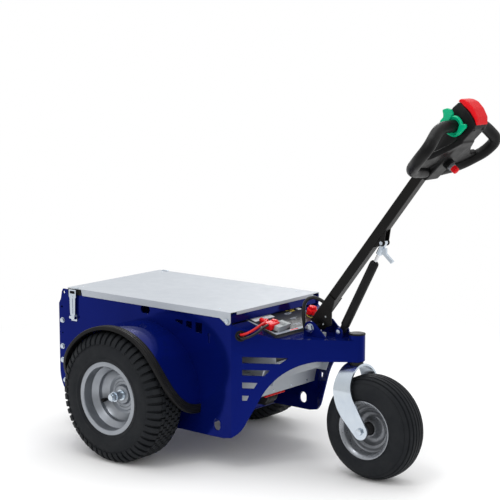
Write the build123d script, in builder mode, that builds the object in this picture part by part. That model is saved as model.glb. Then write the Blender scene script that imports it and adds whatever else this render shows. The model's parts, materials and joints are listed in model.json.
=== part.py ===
"""Walk-behind electric tow tug: two driven rear wheels, a swivelling front wheel and a sprung tiller.

+X points to the tiller, +Y to the left, +Z up, in millimetres. The origin lies on the
floor below the middle of the machine's length. Everything is placed from the rear axle.
"""

from build123d import *
import math
import os

os.makedirs("parts", exist_ok=True)

# ---- driving dimensions, mm ---------------------------------------------------------
REAR_AXLE_X = -302.0        # rear axle from the origin

# rear wheels
REAR_TYRE_R = 203.0         # rolling radius, out to the tips of the lugs
REAR_TYRE_W = 144.0         # section width
REAR_TRACK = 646.0          # between the middles of the two tyres
REAR_BEAD_R = 101.6
REAR_FLANGE_R = 114.5
REAR_DROP_R = 84.0          # drop centre of the rim
REAR_RIM_HALF = 65.0        # middle of the wheel to a flange's inner face
REAR_AXLE_R = 12.5
REAR_WALL = 9.0
REAR_TREAD_HALF = 40.0

# swivelling front wheel
FRONT_TYRE_R = 157.0
FRONT_TYRE_W = 124.0
FRONT_BEAD_R = 76.2
FRONT_FLANGE_R = 87.8
FRONT_DROP_R = 62.0
FRONT_RIM_HALF = 53.6
FRONT_AXLE_R = 10.0
FRONT_WALL = 8.0
CASTER_LEAD = 66.0          # wheel axle ahead of the swivel in the parked position
SWIVEL_REACH = 652.65       # swivel from the rear axle
STEM_R = 16.0
FORK_PLATE = 6.0
FORK_CLEAR = 8.0            # fork leg to tyre
FORK_LEG_W = 52.0
FORK_EYE_R = 25.0
STEM_GAP = 5.0              # crown to head tube

# body plates
PLATE = 4.0                 # side and nose plates
BODY_HALF = 218.3           # outer face of the side plates
BODY_TAIL = 381.0           # rear axle to the rear edge
FOLD_REACH = 350.0          # rear axle to the nose fold
NOSE_REST = 29.5            # nose plates' outer faces from the centre plane, beside the swivel
BODY_TOP = 480.0
BODY_BOTTOM = 98.0
NOSE_TOP = 411.0            # flat deck behind the head tube
NOSE_BOTTOM = 347.0         # lower edge of the nose at the head tube
NOSE_SHOULDER = 449.0       # nose top edge at the fold
SLOPE_RUN = 121.0           # length of the nose plate's sloping top edge
DECK_T = 3.0
HEAD_TUBE_R = 25.0
HEAD_TUBE_BOTTOM = 345.0
HEAD_TUBE_TOP = 426.0
HEAD_CAP_T = 6.0
HEAD_CAP_LIP = 0.5

# cable grommet in the right-hand nose plate
GROMMET_S = 29.0            # along the nose plate from the fold
GROMMET_Z = 417.5
GROMMET_R = 17.0
GROMMET_SEAT_R = 13.5
GROMMET_BORE_R = 10.0

# lid
LID_TOP = 487.2
LID_T = 2.0
LID_REAR = 337.0            # rear axle to the lid's rear edge
LID_SIDE_GAP = 1.2          # lid flange to side plate
LID_FLANGE = 21.0
LID_PIVOT_REACH = 337.0
LID_PIVOT_Z = 460.0
LID_EAR_R = 11.0
LID_PIN_R = 5.0
LATCH_REACH = 310.0         # latch behind the rear axle
LATCH_W = 32.0
LATCH_PIVOT_Z = 391.0
LATCH_TOP_Z = 483.0

# fenders
FENDER_GAP = 16.0           # over the tyre
FENDER_T = 3.0
FENDER_X = 5.0              # fender axis ahead of the rear axle
FENDER_SET = 3.0            # fender axis below the rear axle
FENDER_SPRING = 147.0       # rear axle up to where the edge starts to turn in
FENDER_ACROSS = 138.0       # side plate to the trim's inner edge
FENDER_DROP = 158.0         # the trim's inner edge falls this far to the side plate
SHEET_TUCK = 26.0           # sheet reaches this far under the trim
TRIM_W = 30.0
TRIM_T = 4.5                # rubber on each face of the sheet

# battery
BATTERY_SIDE = 85.3         # side plate's outer face to the battery
BATTERY_L = 172.0
BATTERY_H = 150.0
BATTERY_TILT = 14.0
BATTERY_FRONT_REACH = 456.0
BATTERY_FRONT_Z = 419.0

# tiller
TILLER_REACH = 515.0        # tiller pivot from the rear axle
TILLER_Z = 435.0
TILLER_ANGLE = 52.2         # above the horizontal in the parked position
TUBE_W = 32.0
TUBE_D = 30.0
TUBE_WALL = 3.0
TUBE_START = 22.0
THROTTLE_U = 786.0          # throttles' axis along the tiller
PIVOT_R = 8.0
EAR_Y = 45.0                # middle of each chassis ear
EAR_T = 5.0
CHEEK_T = 4.0

# gas spring
SPRING_LOW = (600.0, 430.0)     # lower pin, from the rear axle and the floor
SPRING_HIGH_U = 357.5           # upper pin along the tiller
SPRING_HIGH_W = 13.8            # upper pin below the tiller tube
SPRING_SLEEVE_R = 13.7
SPRING_ROD_R = 5.0
SPRING_PIN_R = 5.0
SPRING_EYE_R = 8.0
LUG_Y = 17.0                    # middle of each lug at the lower pin
SPRING_EAR_Y = 11.5             # middle of each ear at the upper pin

# fits and clearances
RUN = 0.05                  # radial running clearance
SEAT = 0.2                  # face that seats without touching
RUN_FACE = 0.5              # faces that turn past each other

AXLE_Z = REAR_TYRE_R
FRONT_AXLE_Z = FRONT_TYRE_R
SWIVEL_X = REAR_AXLE_X + SWIVEL_REACH
FRONT_AXLE_X = SWIVEL_X + CASTER_LEAD
FOLD_X = REAR_AXLE_X + FOLD_REACH
TAIL_X = REAR_AXLE_X - BODY_TAIL
LID_PIVOT_X = REAR_AXLE_X + LID_PIVOT_REACH
FENDER_R = REAR_TYRE_R + FENDER_GAP + FENDER_T
FENDER_Z = AXLE_Z - FENDER_SET
FENDER_SPRING_Z = AXLE_Z + FENDER_SPRING
BATTERY_W = 2 * (BODY_HALF - BATTERY_SIDE)
HEAD_START = THROTTLE_U - 191           # lower end of the head's housing along the tiller
TUBE_END = HEAD_START + 45
NOSE_ANGLE = math.degrees(math.atan2(BODY_HALF - NOSE_REST, SWIVEL_REACH - FOLD_REACH))
NOSE_DX = math.cos(math.radians(NOSE_ANGLE))
NOSE_DY = math.sin(math.radians(NOSE_ANGLE))
NOSE_LENGTH = (SWIVEL_X - FOLD_X + HEAD_TUBE_R * NOSE_DY) / NOSE_DX


def save(piece, label):
    """Label a finished piece and write its STEP file."""
    piece.label = label
    export_step(piece, f"parts/{label}.step")


def save_pair(piece, name):
    """Write a right-hand piece and its mirror image on the left."""
    save(piece, f"{name}_right")
    save(mirror(piece, about=Plane.XZ), f"{name}_left")


def save_each_side(piece, name, half_track):
    """Write one wheel piece, made about the centre plane, on each side."""
    save(Pos(0, half_track, 0) * piece, f"{name}_left")
    save(mirror(Pos(0, half_track, 0) * piece, about=Plane.XZ), f"{name}_right")


# ---- wheels -------------------------------------------------------------------------
BEAD_SET = 6.0              # bead's outer face inside the rim flange's inner face
LUG_COUNT = 24              # shoulder lugs on each side of a rear tyre
LUG_W = 15.0


def tyre_ring(crown, width, bead_r, rim_half, wall):
    """Tyre about the Y axis, open towards the rim, from its crown's (radius, half width) points."""
    half = width / 2
    bead = rim_half - BEAD_SET
    tread_r = crown[0][0]
    belly_r = bead_r + 0.40 * (tread_r - bead_r)
    outside = list(crown) + [(belly_r, half), (bead_r, bead)]
    inside_face = [(bead_r, bead - wall), (belly_r, half - wall), (tread_r - 2 * wall, half / 2)]
    near_half = outside + inside_face
    far_half = [(radius, -across) for radius, across in reversed(near_half)]
    with BuildPart() as tyre:
        with BuildSketch(Plane.XY):
            with BuildLine():
                Polyline(*near_half, *far_half, near_half[0])
            make_face()
        revolve(axis=Axis.Y)
    return tyre.part


def shoulder_lugs(outline):
    """Bars of an outline in (radius, half width) round both shoulders, side set off half a pitch."""
    with BuildPart() as bar:
        with BuildSketch(Plane.XY):
            Polygon(*outline, align=None)
        extrude(amount=LUG_W / 2, both=True)
    other = mirror(bar.part, about=Plane.XZ)
    pitch = 360 / LUG_COUNT
    near_side = [Rot(0, pitch * step, 0) * bar.part for step in range(LUG_COUNT)]
    far_side = [Rot(0, pitch * (step + 0.5), 0) * other for step in range(LUG_COUNT)]
    return near_side + far_side


RIM_SHEET = 3.0
DISC_T = 4.0
DISC_DISH = 14.0            # depth of the dish between the drop centre and the disc


def rim_ring(flange_r, bead_r, drop_r, half, disc_y, hub_r, bore_r, hub_out, hub_in):
    """Pressed rim with a drop centre and a recessed disc, outer face towards +Y."""
    seat = bead_r - SEAT
    back = seat - RIM_SHEET
    drop_back = drop_r - RIM_SHEET
    lip = half + RIM_SHEET
    with BuildPart() as rim:
        with BuildSketch(Plane.XY):
            with BuildLine():
                Polyline(
                    (flange_r, -lip), (flange_r, -half), (seat + 2, -half), (seat, -half + 2),
                    (seat, -half * 0.5), (drop_r, -half * 0.3), (drop_r, half * 0.3),
                    (seat, half * 0.5), (seat, half - 2), (seat + 2, half), (flange_r, half),
                    (flange_r, lip), (back + 2, lip), (back, half - 1),
                    (back, half * 0.52), (drop_back, half * 0.32),
                    (drop_back, disc_y + DISC_DISH), (drop_r - 24, disc_y), (hub_r + 4, disc_y),
                    (hub_r, disc_y + hub_out), (bore_r, disc_y + hub_out),
                    (bore_r, disc_y - hub_in), (hub_r, disc_y - hub_in), (hub_r, disc_y - DISC_T),
                    (drop_r - 22, disc_y - DISC_T), (drop_back, disc_y + DISC_DISH - 5),
                    (drop_back, -half * 0.32), (back, -half * 0.52), (back, -half + 1),
                    (back + 2, -lip), (flange_r, -lip))
            make_face()
        revolve(axis=Axis.Y)
    return rim.part


rear_half = REAR_TYRE_W / 2
rear_crown = ((REAR_TYRE_R, REAR_TREAD_HALF), (REAR_TYRE_R - 34, rear_half))
rear_lugs = shoulder_lugs((
    (REAR_TYRE_R - 0.2, REAR_TREAD_HALF - 4), (REAR_TYRE_R - 0.2, REAR_TREAD_HALF + 4),
    (REAR_TYRE_R - 9, rear_half - 15), (REAR_TYRE_R - 21, rear_half - 5), (REAR_TYRE_R - 35, rear_half),
    (REAR_TYRE_R - 35, rear_half - 6), (REAR_TYRE_R - 20, REAR_TREAD_HALF - 4)))
rear_ring = tyre_ring(rear_crown, REAR_TYRE_W, REAR_BEAD_R, REAR_RIM_HALF, REAR_WALL)
rear_tyre = Pos(REAR_AXLE_X, 0, AXLE_Z) * (rear_ring + rear_lugs)
save_each_side(rear_tyre, "rear_tyre", REAR_TRACK / 2)

REAR_DISC_Y = -8.0          # disc from the middle of the wheel
REAR_HUB_R = 28.0
REAR_HUB_OUT = 12.0
REAR_HUB_IN = 40.0
rear_rim = Pos(REAR_AXLE_X, 0, AXLE_Z) * rim_ring(
    REAR_FLANGE_R, REAR_BEAD_R, REAR_DROP_R, REAR_RIM_HALF, REAR_DISC_Y, REAR_HUB_R, REAR_AXLE_R,
    REAR_HUB_OUT, REAR_HUB_IN)
save_each_side(rear_rim, "rear_rim", REAR_TRACK / 2)

AXLE_INNER = 150.0          # inner end of each axle shaft from the centre plane
AXLE_THREAD = 22.0          # shaft beyond the hub
WASHER_R = 22.0
WASHER_T = 3.0
AXLE_NUT_R = 19.0
AXLE_NUT_T = 14.0
with BuildPart() as rear_axle:
    hub_face = REAR_TRACK / 2 + REAR_DISC_Y + REAR_HUB_OUT
    with BuildSketch(Plane.XZ.offset(-AXLE_INNER)):
        Circle(REAR_AXLE_R)
    extrude(amount=-(hub_face + AXLE_THREAD - AXLE_INNER))
    with BuildSketch(Plane.XZ.offset(-hub_face)):
        Circle(WASHER_R)
    extrude(amount=-WASHER_T)
    with BuildSketch(Plane.XZ.offset(-hub_face - WASHER_T)):
        RegularPolygon(AXLE_NUT_R, 6)
    extrude(amount=-AXLE_NUT_T)
rear_axle_left = Pos(REAR_AXLE_X, 0, AXLE_Z) * rear_axle.part
save(rear_axle_left, "rear_axle_left")
save(mirror(rear_axle_left, about=Plane.XZ), "rear_axle_right")

FRONT_HUB_R = 26.0
FRONT_HUB_HALF = 52.0
front_half = FRONT_TYRE_W / 2
front_crown = ((FRONT_TYRE_R, front_half - 48), (FRONT_TYRE_R - 7, front_half - 30),
               (FRONT_TYRE_R - 18, front_half - 14), (FRONT_TYRE_R - 31, front_half - 4))
front_tyre = Pos(FRONT_AXLE_X, 0, FRONT_AXLE_Z) * tyre_ring(
    front_crown, FRONT_TYRE_W, FRONT_BEAD_R, FRONT_RIM_HALF, FRONT_WALL)
save(front_tyre, "front_tyre")
front_rim = Pos(FRONT_AXLE_X, 0, FRONT_AXLE_Z) * rim_ring(
    FRONT_FLANGE_R, FRONT_BEAD_R, FRONT_DROP_R, FRONT_RIM_HALF, 0.0, FRONT_HUB_R, FRONT_AXLE_R + RUN,
    FRONT_HUB_HALF, FRONT_HUB_HALF)
save(front_rim, "front_rim")

# ---- caster fork --------------------------------------------------------------------
fork_inner = FRONT_TYRE_W / 2 + FORK_CLEAR
fork_outer = fork_inner + FORK_PLATE
fork_top = HEAD_TUBE_BOTTOM - STEM_GAP
crown_z = fork_top - fork_outer      # middle of the crown's half round
COLLAR_R = 20.0             # collar between the crown and the head tube

with BuildPart() as swivel_stem:
    with BuildSketch(Plane.XY.offset(fork_top - FORK_PLATE / 2)):
        with Locations((SWIVEL_X, 0)):
            Circle(COLLAR_R)
    extrude(amount=HEAD_TUBE_BOTTOM - fork_top + FORK_PLATE / 2 - RUN_FACE)
    with BuildSketch(Plane.XY.offset(fork_top - 1.5 * FORK_PLATE)):
        with Locations((SWIVEL_X, 0)):
            Circle(STEM_R)
    extrude(amount=HEAD_TUBE_TOP - fork_top + 1.5 * FORK_PLATE - 1.0)
save(swivel_stem.part, "swivel_stem")

with BuildPart() as fork_strap:
    with BuildSketch(Plane.YZ.offset(SWIVEL_X - FORK_LEG_W)):
        with BuildLine():
            Line((fork_inner, 0), (fork_outer, 0))
            Line((fork_outer, 0), (fork_outer, crown_z))
            ThreePointArc((fork_outer, crown_z), (0, fork_top), (-fork_outer, crown_z))
            Polyline((-fork_outer, crown_z), (-fork_outer, 0), (-fork_inner, 0), (-fork_inner, crown_z))
            ThreePointArc((-fork_inner, crown_z), (0, fork_top - FORK_PLATE), (fork_inner, crown_z))
            Line((fork_inner, crown_z), (fork_inner, 0))
        make_face()
    extrude(amount=2 * FORK_LEG_W + CASTER_LEAD)
with BuildPart() as fork_side:
    half = FORK_LEG_W / 2
    knee = (SWIVEL_X + 6, FRONT_AXLE_Z + 26)             # rear edge, end of its round
    shin = (SWIVEL_X + 39, crown_z - 16)                 # front edge, start of its round
    with BuildSketch(Plane.XZ):
        with BuildLine():
            Line((SWIVEL_X - half, fork_top), (SWIVEL_X - half - 5, crown_z + 10))
            ThreePointArc((SWIVEL_X - half - 5, crown_z + 10), (SWIVEL_X - half + 4, crown_z - 38), knee)
            Polyline(
                knee, (FRONT_AXLE_X - FORK_EYE_R * 0.78, FRONT_AXLE_Z - FORK_EYE_R * 0.62),
                (FRONT_AXLE_X + FORK_EYE_R * 0.78, FRONT_AXLE_Z + FORK_EYE_R * 0.62), shin)
            ThreePointArc(shin, (SWIVEL_X + half + 4, crown_z + 12), (SWIVEL_X + half, crown_z + 40))
            Polyline(
                (SWIVEL_X + half, crown_z + 40), (SWIVEL_X + half - 4, fork_top),
                (SWIVEL_X - half, fork_top))
        make_face()
        with Locations((FRONT_AXLE_X, FRONT_AXLE_Z)):
            Circle(FORK_EYE_R)
            Circle(FRONT_AXLE_R, mode=Mode.SUBTRACT)
    extrude(amount=fork_outer, both=True)
save((fork_strap.part & fork_side.part) - swivel_stem.part, "fork")

FRONT_NUT_R = 16.0
FRONT_NUT_T = 11.0
with BuildPart() as front_axle:
    with BuildSketch(Plane.XZ.offset(-fork_outer)):
        with Locations((FRONT_AXLE_X, FRONT_AXLE_Z)):
            Circle(FRONT_AXLE_R)
    extrude(amount=2 * fork_outer)
    for side in (-1, 1):
        with BuildSketch(Plane.XZ.offset(side * fork_outer)):
            with Locations((FRONT_AXLE_X, FRONT_AXLE_Z)):
                RegularPolygon(FRONT_NUT_R, 6)
        extrude(amount=side * FRONT_NUT_T)
save(front_axle.part, "front_axle")


# ---- side and nose plates -----------------------------------------------------------
def nose_plane(distance):
    """Plane of the right nose plate's outer face: x runs along the plate from the fold, y is up."""
    return Plane(
        origin=(FOLD_X, -BODY_HALF, 0), x_dir=(NOSE_DX, NOSE_DY, 0), z_dir=(NOSE_DY, -NOSE_DX, 0)
    ).offset(distance)


TAIL_LOW_R = 112.0          # round of the side plate's lower rear corner
FOLD_BOTTOM = BODY_BOTTOM + 6
AXLE_HOLE_R = 30.0
# nose plate's lower edge: (along the plate, height)
NOSE_KNEE = (45, 151)
NOSE_THIGH = (88, 229)
NOSE_BELLY = (142, 295)
NOSE_HIP = (256, NOSE_BOTTOM - 2)

# cut-outs in the side plates, from the rear axle
ROUND_HOLES = ((-357, 468, 4.5), (-368, 419, 4.5), (-366, 333, 3.0), (-4, 454.5, 12.5), (10, 454.5, 12.5),
               (264, 408, 6.0))                             # (reach, height, radius)
VENT_TOP = 440.5
VENTS = ((128, 158, 434, 425), (171, 195, 423, 418), (209, 236, 411, 408))  # (from, to, low, low)
OVAL_HOLE = (294, 136, 36, 26)                              # (reach, height, length, width)
KEY_SLOT = (264, 384, 405, 6)                               # (reach, low, high, width)
# louvre slots in the nose plates: (end at the top, end at the bottom, top, bottom)
SLOT_START = 33.0
NOSE_SLOTS = ((171, 146, 354, 335), (116, 99, 315, 297), (79, 68, 276, 258), (53, 47, 236, 220))

with BuildPart() as side_plate:
    with BuildSketch(Plane.XZ.offset(BODY_HALF)):
        with BuildLine():
            Polyline(
                (FOLD_X, FOLD_BOTTOM), (FOLD_X, BODY_TOP), (TAIL_X + 20, BODY_TOP),
                (TAIL_X + 14, BODY_TOP - 10), (TAIL_X + 9, BODY_TOP - 34), (TAIL_X, BODY_TOP - 50),
                (TAIL_X, BODY_BOTTOM + TAIL_LOW_R))
            RadiusArc((TAIL_X, BODY_BOTTOM + TAIL_LOW_R), (TAIL_X + TAIL_LOW_R, BODY_BOTTOM), -TAIL_LOW_R)
            Polyline((TAIL_X + TAIL_LOW_R, BODY_BOTTOM), (FOLD_X - 30, BODY_BOTTOM), (FOLD_X, FOLD_BOTTOM))
        make_face()
    extrude(amount=-PLATE)
    with BuildSketch(nose_plane(0)):
        with BuildLine():
            ThreePointArc((0, FOLD_BOTTOM), (22, 119), NOSE_KNEE)
            Line(NOSE_KNEE, NOSE_THIGH)
            ThreePointArc(NOSE_THIGH, NOSE_BELLY, NOSE_HIP)
            Polyline(
                NOSE_HIP, (NOSE_LENGTH, NOSE_BOTTOM), (NOSE_LENGTH, NOSE_TOP), (SLOPE_RUN, NOSE_TOP),
                (0, NOSE_SHOULDER), (0, FOLD_BOTTOM))
        make_face()
    extrude(amount=-PLATE)
    # openings, the clearance round the axle and the seat on the head tube
    with BuildSketch(Plane.XZ.offset(BODY_HALF)):
        with Locations((REAR_AXLE_X, AXLE_Z)):
            Circle(AXLE_HOLE_R)
        for reach, height, radius in ROUND_HOLES:
            with Locations((REAR_AXLE_X + reach, height)):
                Circle(radius)
        for start, end, low, low_end in VENTS:
            Polygon(
                (REAR_AXLE_X + start, VENT_TOP), (REAR_AXLE_X + end, VENT_TOP), (REAR_AXLE_X + end, low_end),
                (REAR_AXLE_X + start, low), align=None)
        with Locations((REAR_AXLE_X + OVAL_HOLE[0], OVAL_HOLE[1])):
            SlotOverall(OVAL_HOLE[2], OVAL_HOLE[3], rotation=90)
        with Locations((REAR_AXLE_X + KEY_SLOT[0], (KEY_SLOT[1] + KEY_SLOT[2]) / 2)):
            Rectangle(KEY_SLOT[3], KEY_SLOT[2] - KEY_SLOT[1])
    extrude(amount=-PLATE, mode=Mode.SUBTRACT)
    with BuildSketch(nose_plane(PLATE)):
        for end, low_end, high, low in NOSE_SLOTS:
            Polygon((SLOT_START, high), (end, high), (low_end, low), (SLOT_START, low), align=None)
    extrude(amount=-3 * PLATE, mode=Mode.SUBTRACT)
    with BuildSketch(Plane.XY.offset(BODY_BOTTOM)):
        with Locations((SWIVEL_X, 0)):
            Circle(HEAD_TUBE_R)
    extrude(amount=BODY_TOP, mode=Mode.SUBTRACT)
with BuildPart() as grommet_hole:
    with BuildSketch(nose_plane(PLATE)):
        with Locations((GROMMET_S, GROMMET_Z)):
            Circle(GROMMET_SEAT_R)
    extrude(amount=-3 * PLATE)
save(side_plate.part - grommet_hole.part, "side_plate_right")
save(mirror(side_plate.part, about=Plane.XZ), "side_plate_left")

with BuildPart() as head_tube:
    with BuildSketch(Plane.XY.offset(HEAD_TUBE_BOTTOM)):
        with Locations((SWIVEL_X, 0)):
            Circle(HEAD_TUBE_R)
    extrude(amount=HEAD_TUBE_TOP - HEAD_TUBE_BOTTOM)
    chamfer(head_tube.edges().group_by(Axis.Z)[0], 3)
    with BuildSketch(Plane.XY.offset(HEAD_TUBE_BOTTOM)):
        with Locations((SWIVEL_X, 0)):
            Circle(STEM_R + RUN)
    extrude(amount=HEAD_TUBE_TOP - HEAD_TUBE_BOTTOM, mode=Mode.SUBTRACT)
save(head_tube.part, "head_tube")

with BuildPart() as head_cap:
    with BuildSketch(Plane.XY.offset(HEAD_TUBE_TOP)):
        with Locations((SWIVEL_X, 0)):
            Circle(HEAD_TUBE_R + HEAD_CAP_LIP)
    extrude(amount=HEAD_CAP_T)
    chamfer(head_cap.edges().group_by(Axis.Z)[-1], 2.5)
save(head_cap.part, "head_cap")

# space between the plates, used to trim what spans the body
with BuildPart() as inside:
    fold_in = FOLD_X - PLATE * math.tan(math.radians(NOSE_ANGLE / 2))
    half_in = BODY_HALF - PLATE
    tip_half = HEAD_TUBE_R * 0.6
    run_in = (half_in - tip_half) / math.tan(math.radians(NOSE_ANGLE))
    with BuildSketch(Plane.XY.offset(BODY_BOTTOM - 10)):
        with BuildLine():
            Polyline(
                (TAIL_X, -half_in), (fold_in, -half_in), (fold_in + run_in, -tip_half),
                (fold_in + run_in, tip_half), (fold_in, half_in), (TAIL_X, half_in), (TAIL_X, -half_in))
        make_face()
        with Locations((SWIVEL_X, 0)):
            Circle(HEAD_TUBE_R, mode=Mode.SUBTRACT)
    extrude(amount=BODY_TOP)
inner_space = inside.part


def across(points):
    """Sheet of the given XZ outline spanning the whole body between the plates."""
    with BuildPart() as sheet:
        with BuildSketch(Plane.XZ.offset(-BODY_HALF)):
            with BuildLine():
                Polyline(*points, points[0])
            make_face()
        extrude(amount=2 * BODY_HALF)
    return sheet.part & inner_space


FLOOR_T = 4.0
floor_front = FOLD_X - 34.0
floor = across([
    (TAIL_X + TAIL_LOW_R, BODY_BOTTOM), (floor_front, BODY_BOTTOM),
    (floor_front, BODY_BOTTOM + FLOOR_T), (TAIL_X + TAIL_LOW_R, BODY_BOTTOM + FLOOR_T)])
save(floor, "floor_plate")

REAR_T = 6.0
REAR_SET = 1.0              # rear plate inside the side plates' rear edges
rear_top = BODY_TOP - 52.0
rear_plate = across([
    (TAIL_X + REAR_SET, BODY_BOTTOM + TAIL_LOW_R), (TAIL_X + REAR_SET + REAR_T, BODY_BOTTOM + TAIL_LOW_R),
    (TAIL_X + REAR_SET + REAR_T, rear_top), (TAIL_X + REAR_SET, rear_top)])
save(rear_plate, "rear_plate")

rail_x = FOLD_X - 9.0
RAIL_DEPTH = 28.0
RAIL_SHELF = 30.0
front_rail = across([
    (rail_x, BODY_TOP - RAIL_DEPTH), (rail_x + PLATE, BODY_TOP - RAIL_DEPTH), (rail_x + PLATE, BODY_TOP),
    (rail_x - RAIL_SHELF, BODY_TOP), (rail_x - RAIL_SHELF, BODY_TOP - PLATE), (rail_x, BODY_TOP - PLATE)])
save(front_rail, "front_rail")

COVER_T = 3.0
cover_low = (FOLD_X - 15.0, 197.0)
cover_high = (FOLD_X - 1.0, 262.0)
cover = across([
    cover_low, (cover_low[0] + COVER_T, cover_low[1]), (cover_high[0] + COVER_T, cover_high[1]), cover_high])
save(cover, "cover_plate")

# nose deck: flat by the head tube, sloping up beside the battery
MOUTH_GAP = 2.0             # round the battery where it passes the deck
slope_x = FOLD_X + SLOPE_RUN * NOSE_DX
deck = across([
    (FOLD_X - 2, NOSE_SHOULDER), (slope_x, NOSE_TOP), (SWIVEL_X, NOSE_TOP), (SWIVEL_X, NOSE_TOP - DECK_T),
    (slope_x - 1, NOSE_TOP - DECK_T), (FOLD_X - 2, NOSE_SHOULDER - DECK_T)])
with BuildPart() as battery_mouth:
    mouth_run = BATTERY_FRONT_REACH - FOLD_REACH + MOUTH_GAP
    with BuildSketch(Plane.XY.offset(NOSE_TOP - 2 * DECK_T)):
        with Locations((FOLD_X, 0)):
            Rectangle(2 * (mouth_run + MOUTH_GAP), BATTERY_W + 2 * MOUTH_GAP)
    extrude(amount=BODY_TOP - NOSE_TOP)
save(deck - battery_mouth.part, "nose_deck")

# ---- battery in its tray ------------------------------------------------------------
tilt = math.radians(BATTERY_TILT)
battery_plane = Plane(
    origin=(REAR_AXLE_X + BATTERY_FRONT_REACH, 0, BATTERY_FRONT_Z),
    x_dir=(-math.cos(tilt), 0, math.sin(tilt)), z_dir=(0, 1, 0))
with BuildPart() as battery:
    with BuildSketch(battery_plane):
        with Locations((BATTERY_L / 2, -BATTERY_H / 2)):
            Rectangle(BATTERY_L, BATTERY_H)
    extrude(amount=BATTERY_W / 2, both=True)
save(battery.part, "battery")

TRAY_T = 3.0
TRAY_REAR = 20.0            # tray beyond the battery's rear
TRAY_LIP = 60.0
with BuildPart() as tray:
    with BuildSketch(battery_plane):
        with BuildLine():
            Polyline(
                (0, -BATTERY_H), (BATTERY_L + TRAY_REAR, -BATTERY_H),
                (BATTERY_L + TRAY_REAR, -BATTERY_H - TRAY_T), (-TRAY_T, -BATTERY_H - TRAY_T),
                (-TRAY_T, -BATTERY_H + TRAY_LIP), (0, -BATTERY_H + TRAY_LIP), (0, -BATTERY_H))
        make_face()
    extrude(amount=BODY_HALF, both=True)
save(tray.part & inner_space, "battery_tray")

# ---- drive unit ---------------------------------------------------------------------
DRIVE_W = 180.0
DRIVE_L = 110.0
DRIVE_R = 72.0
DRIVE_TUBE_R = 27.0         # axle tubes out to the side plates
SHAFT_ROOM = 6.0            # bore beyond each axle shaft's inner end
with BuildPart() as drive:
    with BuildSketch(Plane.XZ):
        with Locations((REAR_AXLE_X, AXLE_Z)):
            Circle(DRIVE_R)
    extrude(amount=DRIVE_W / 2, both=True)
    with BuildSketch(Plane.XZ):
        with Locations((REAR_AXLE_X, AXLE_Z)):
            Circle(DRIVE_TUBE_R)
    extrude(amount=BODY_HALF - PLATE - SEAT, both=True)
    with BuildSketch(Plane.XY.offset(BODY_BOTTOM + FLOOR_T)):
        with Locations((REAR_AXLE_X, 0)):
            Rectangle(DRIVE_L, DRIVE_W)
    extrude(amount=AXLE_Z - BODY_BOTTOM - FLOOR_T)
    with BuildSketch(Plane.XZ.offset(-BODY_HALF)):
        with Locations((REAR_AXLE_X, AXLE_Z)):
            Circle(REAR_AXLE_R + RUN)
    extrude(amount=BODY_HALF - AXLE_INNER + SHAFT_ROOM, mode=Mode.SUBTRACT)
    with BuildSketch(Plane.XZ.offset(BODY_HALF)):
        with Locations((REAR_AXLE_X, AXLE_Z)):
            Circle(REAR_AXLE_R + RUN)
    extrude(amount=-(BODY_HALF - AXLE_INNER + SHAFT_ROOM), mode=Mode.SUBTRACT)
save(drive.part, "drive_unit")

# ---- hitch --------------------------------------------------------------------------
HITCH_Z = 230.0
HITCH_GAP = 46.0
HITCH_T = 12.0
HITCH_REACH = 62.0
HITCH_R = 28.0
HITCH_BORE_R = 13.0
HITCH_PAD = (120.0, 110.0, 8.0)     # width, height, thickness
hitch_face = TAIL_X + REAR_SET
with BuildPart() as hitch:
    for level in (HITCH_Z - HITCH_GAP / 2 - HITCH_T, HITCH_Z + HITCH_GAP / 2):
        with BuildSketch(Plane.XY.offset(level)):
            with Locations((hitch_face - HITCH_REACH / 2, 0)):
                Rectangle(HITCH_REACH, 2 * HITCH_R)
            with Locations((hitch_face - HITCH_REACH, 0)):
                Circle(HITCH_R)
        extrude(amount=HITCH_T)
    with BuildSketch(Plane.YZ.offset(hitch_face)):
        with Locations((0, HITCH_Z)):
            Rectangle(HITCH_PAD[0], HITCH_PAD[1])
    extrude(amount=-HITCH_PAD[2])
    with BuildSketch(Plane.XY.offset(HITCH_Z)):
        with Locations((hitch_face - HITCH_REACH, 0)):
            Circle(HITCH_BORE_R)
    extrude(amount=HITCH_GAP, both=True, mode=Mode.SUBTRACT)
save(hitch.part, "hitch")

# ---- fenders ------------------------------------------------------------------------
def fender_front(margin):
    """Front view of a fender that far outside the trim's inner edge: upright, then a quarter ellipse."""
    across_half = FENDER_ACROSS + margin
    drop = FENDER_DROP + margin
    crown = FENDER_Z + FENDER_R + 40
    with BuildPart() as block:
        with BuildSketch(Plane.YZ.offset(REAR_AXLE_X + FENDER_X)):
            with BuildLine():
                Polyline(
                    (-BODY_HALF, FENDER_SPRING_Z - drop), (-BODY_HALF, crown),
                    (-BODY_HALF - across_half, crown), (-BODY_HALF - across_half, FENDER_SPRING_Z))
                EllipticalCenterArc(
                    (-BODY_HALF, FENDER_SPRING_Z), across_half, drop, start_angle=180, arc_size=90)
            make_face()
        extrude(amount=FENDER_R + 60, both=True)
    return block.part


def fender_shell(inner, outer):
    """Ring about the fender's axis, from the side plate outwards."""
    with BuildPart() as ring:
        with BuildSketch(Plane.XZ.offset(BODY_HALF)):
            with Locations((REAR_AXLE_X + FENDER_X, FENDER_Z)):
                Circle(outer)
                Circle(inner, mode=Mode.SUBTRACT)
        extrude(amount=FENDER_ACROSS + 2 * TRIM_W)
    return ring.part


fender_sheet = fender_shell(FENDER_R - FENDER_T, FENDER_R) & fender_front(SHEET_TUCK)
save_pair(fender_sheet, "fender")
trim_band = fender_shell(FENDER_R - FENDER_T - TRIM_T, FENDER_R + TRIM_T) & (
    fender_front(TRIM_W) - fender_front(0))
save_pair(trim_band - fender_sheet, "fender_trim")

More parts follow.
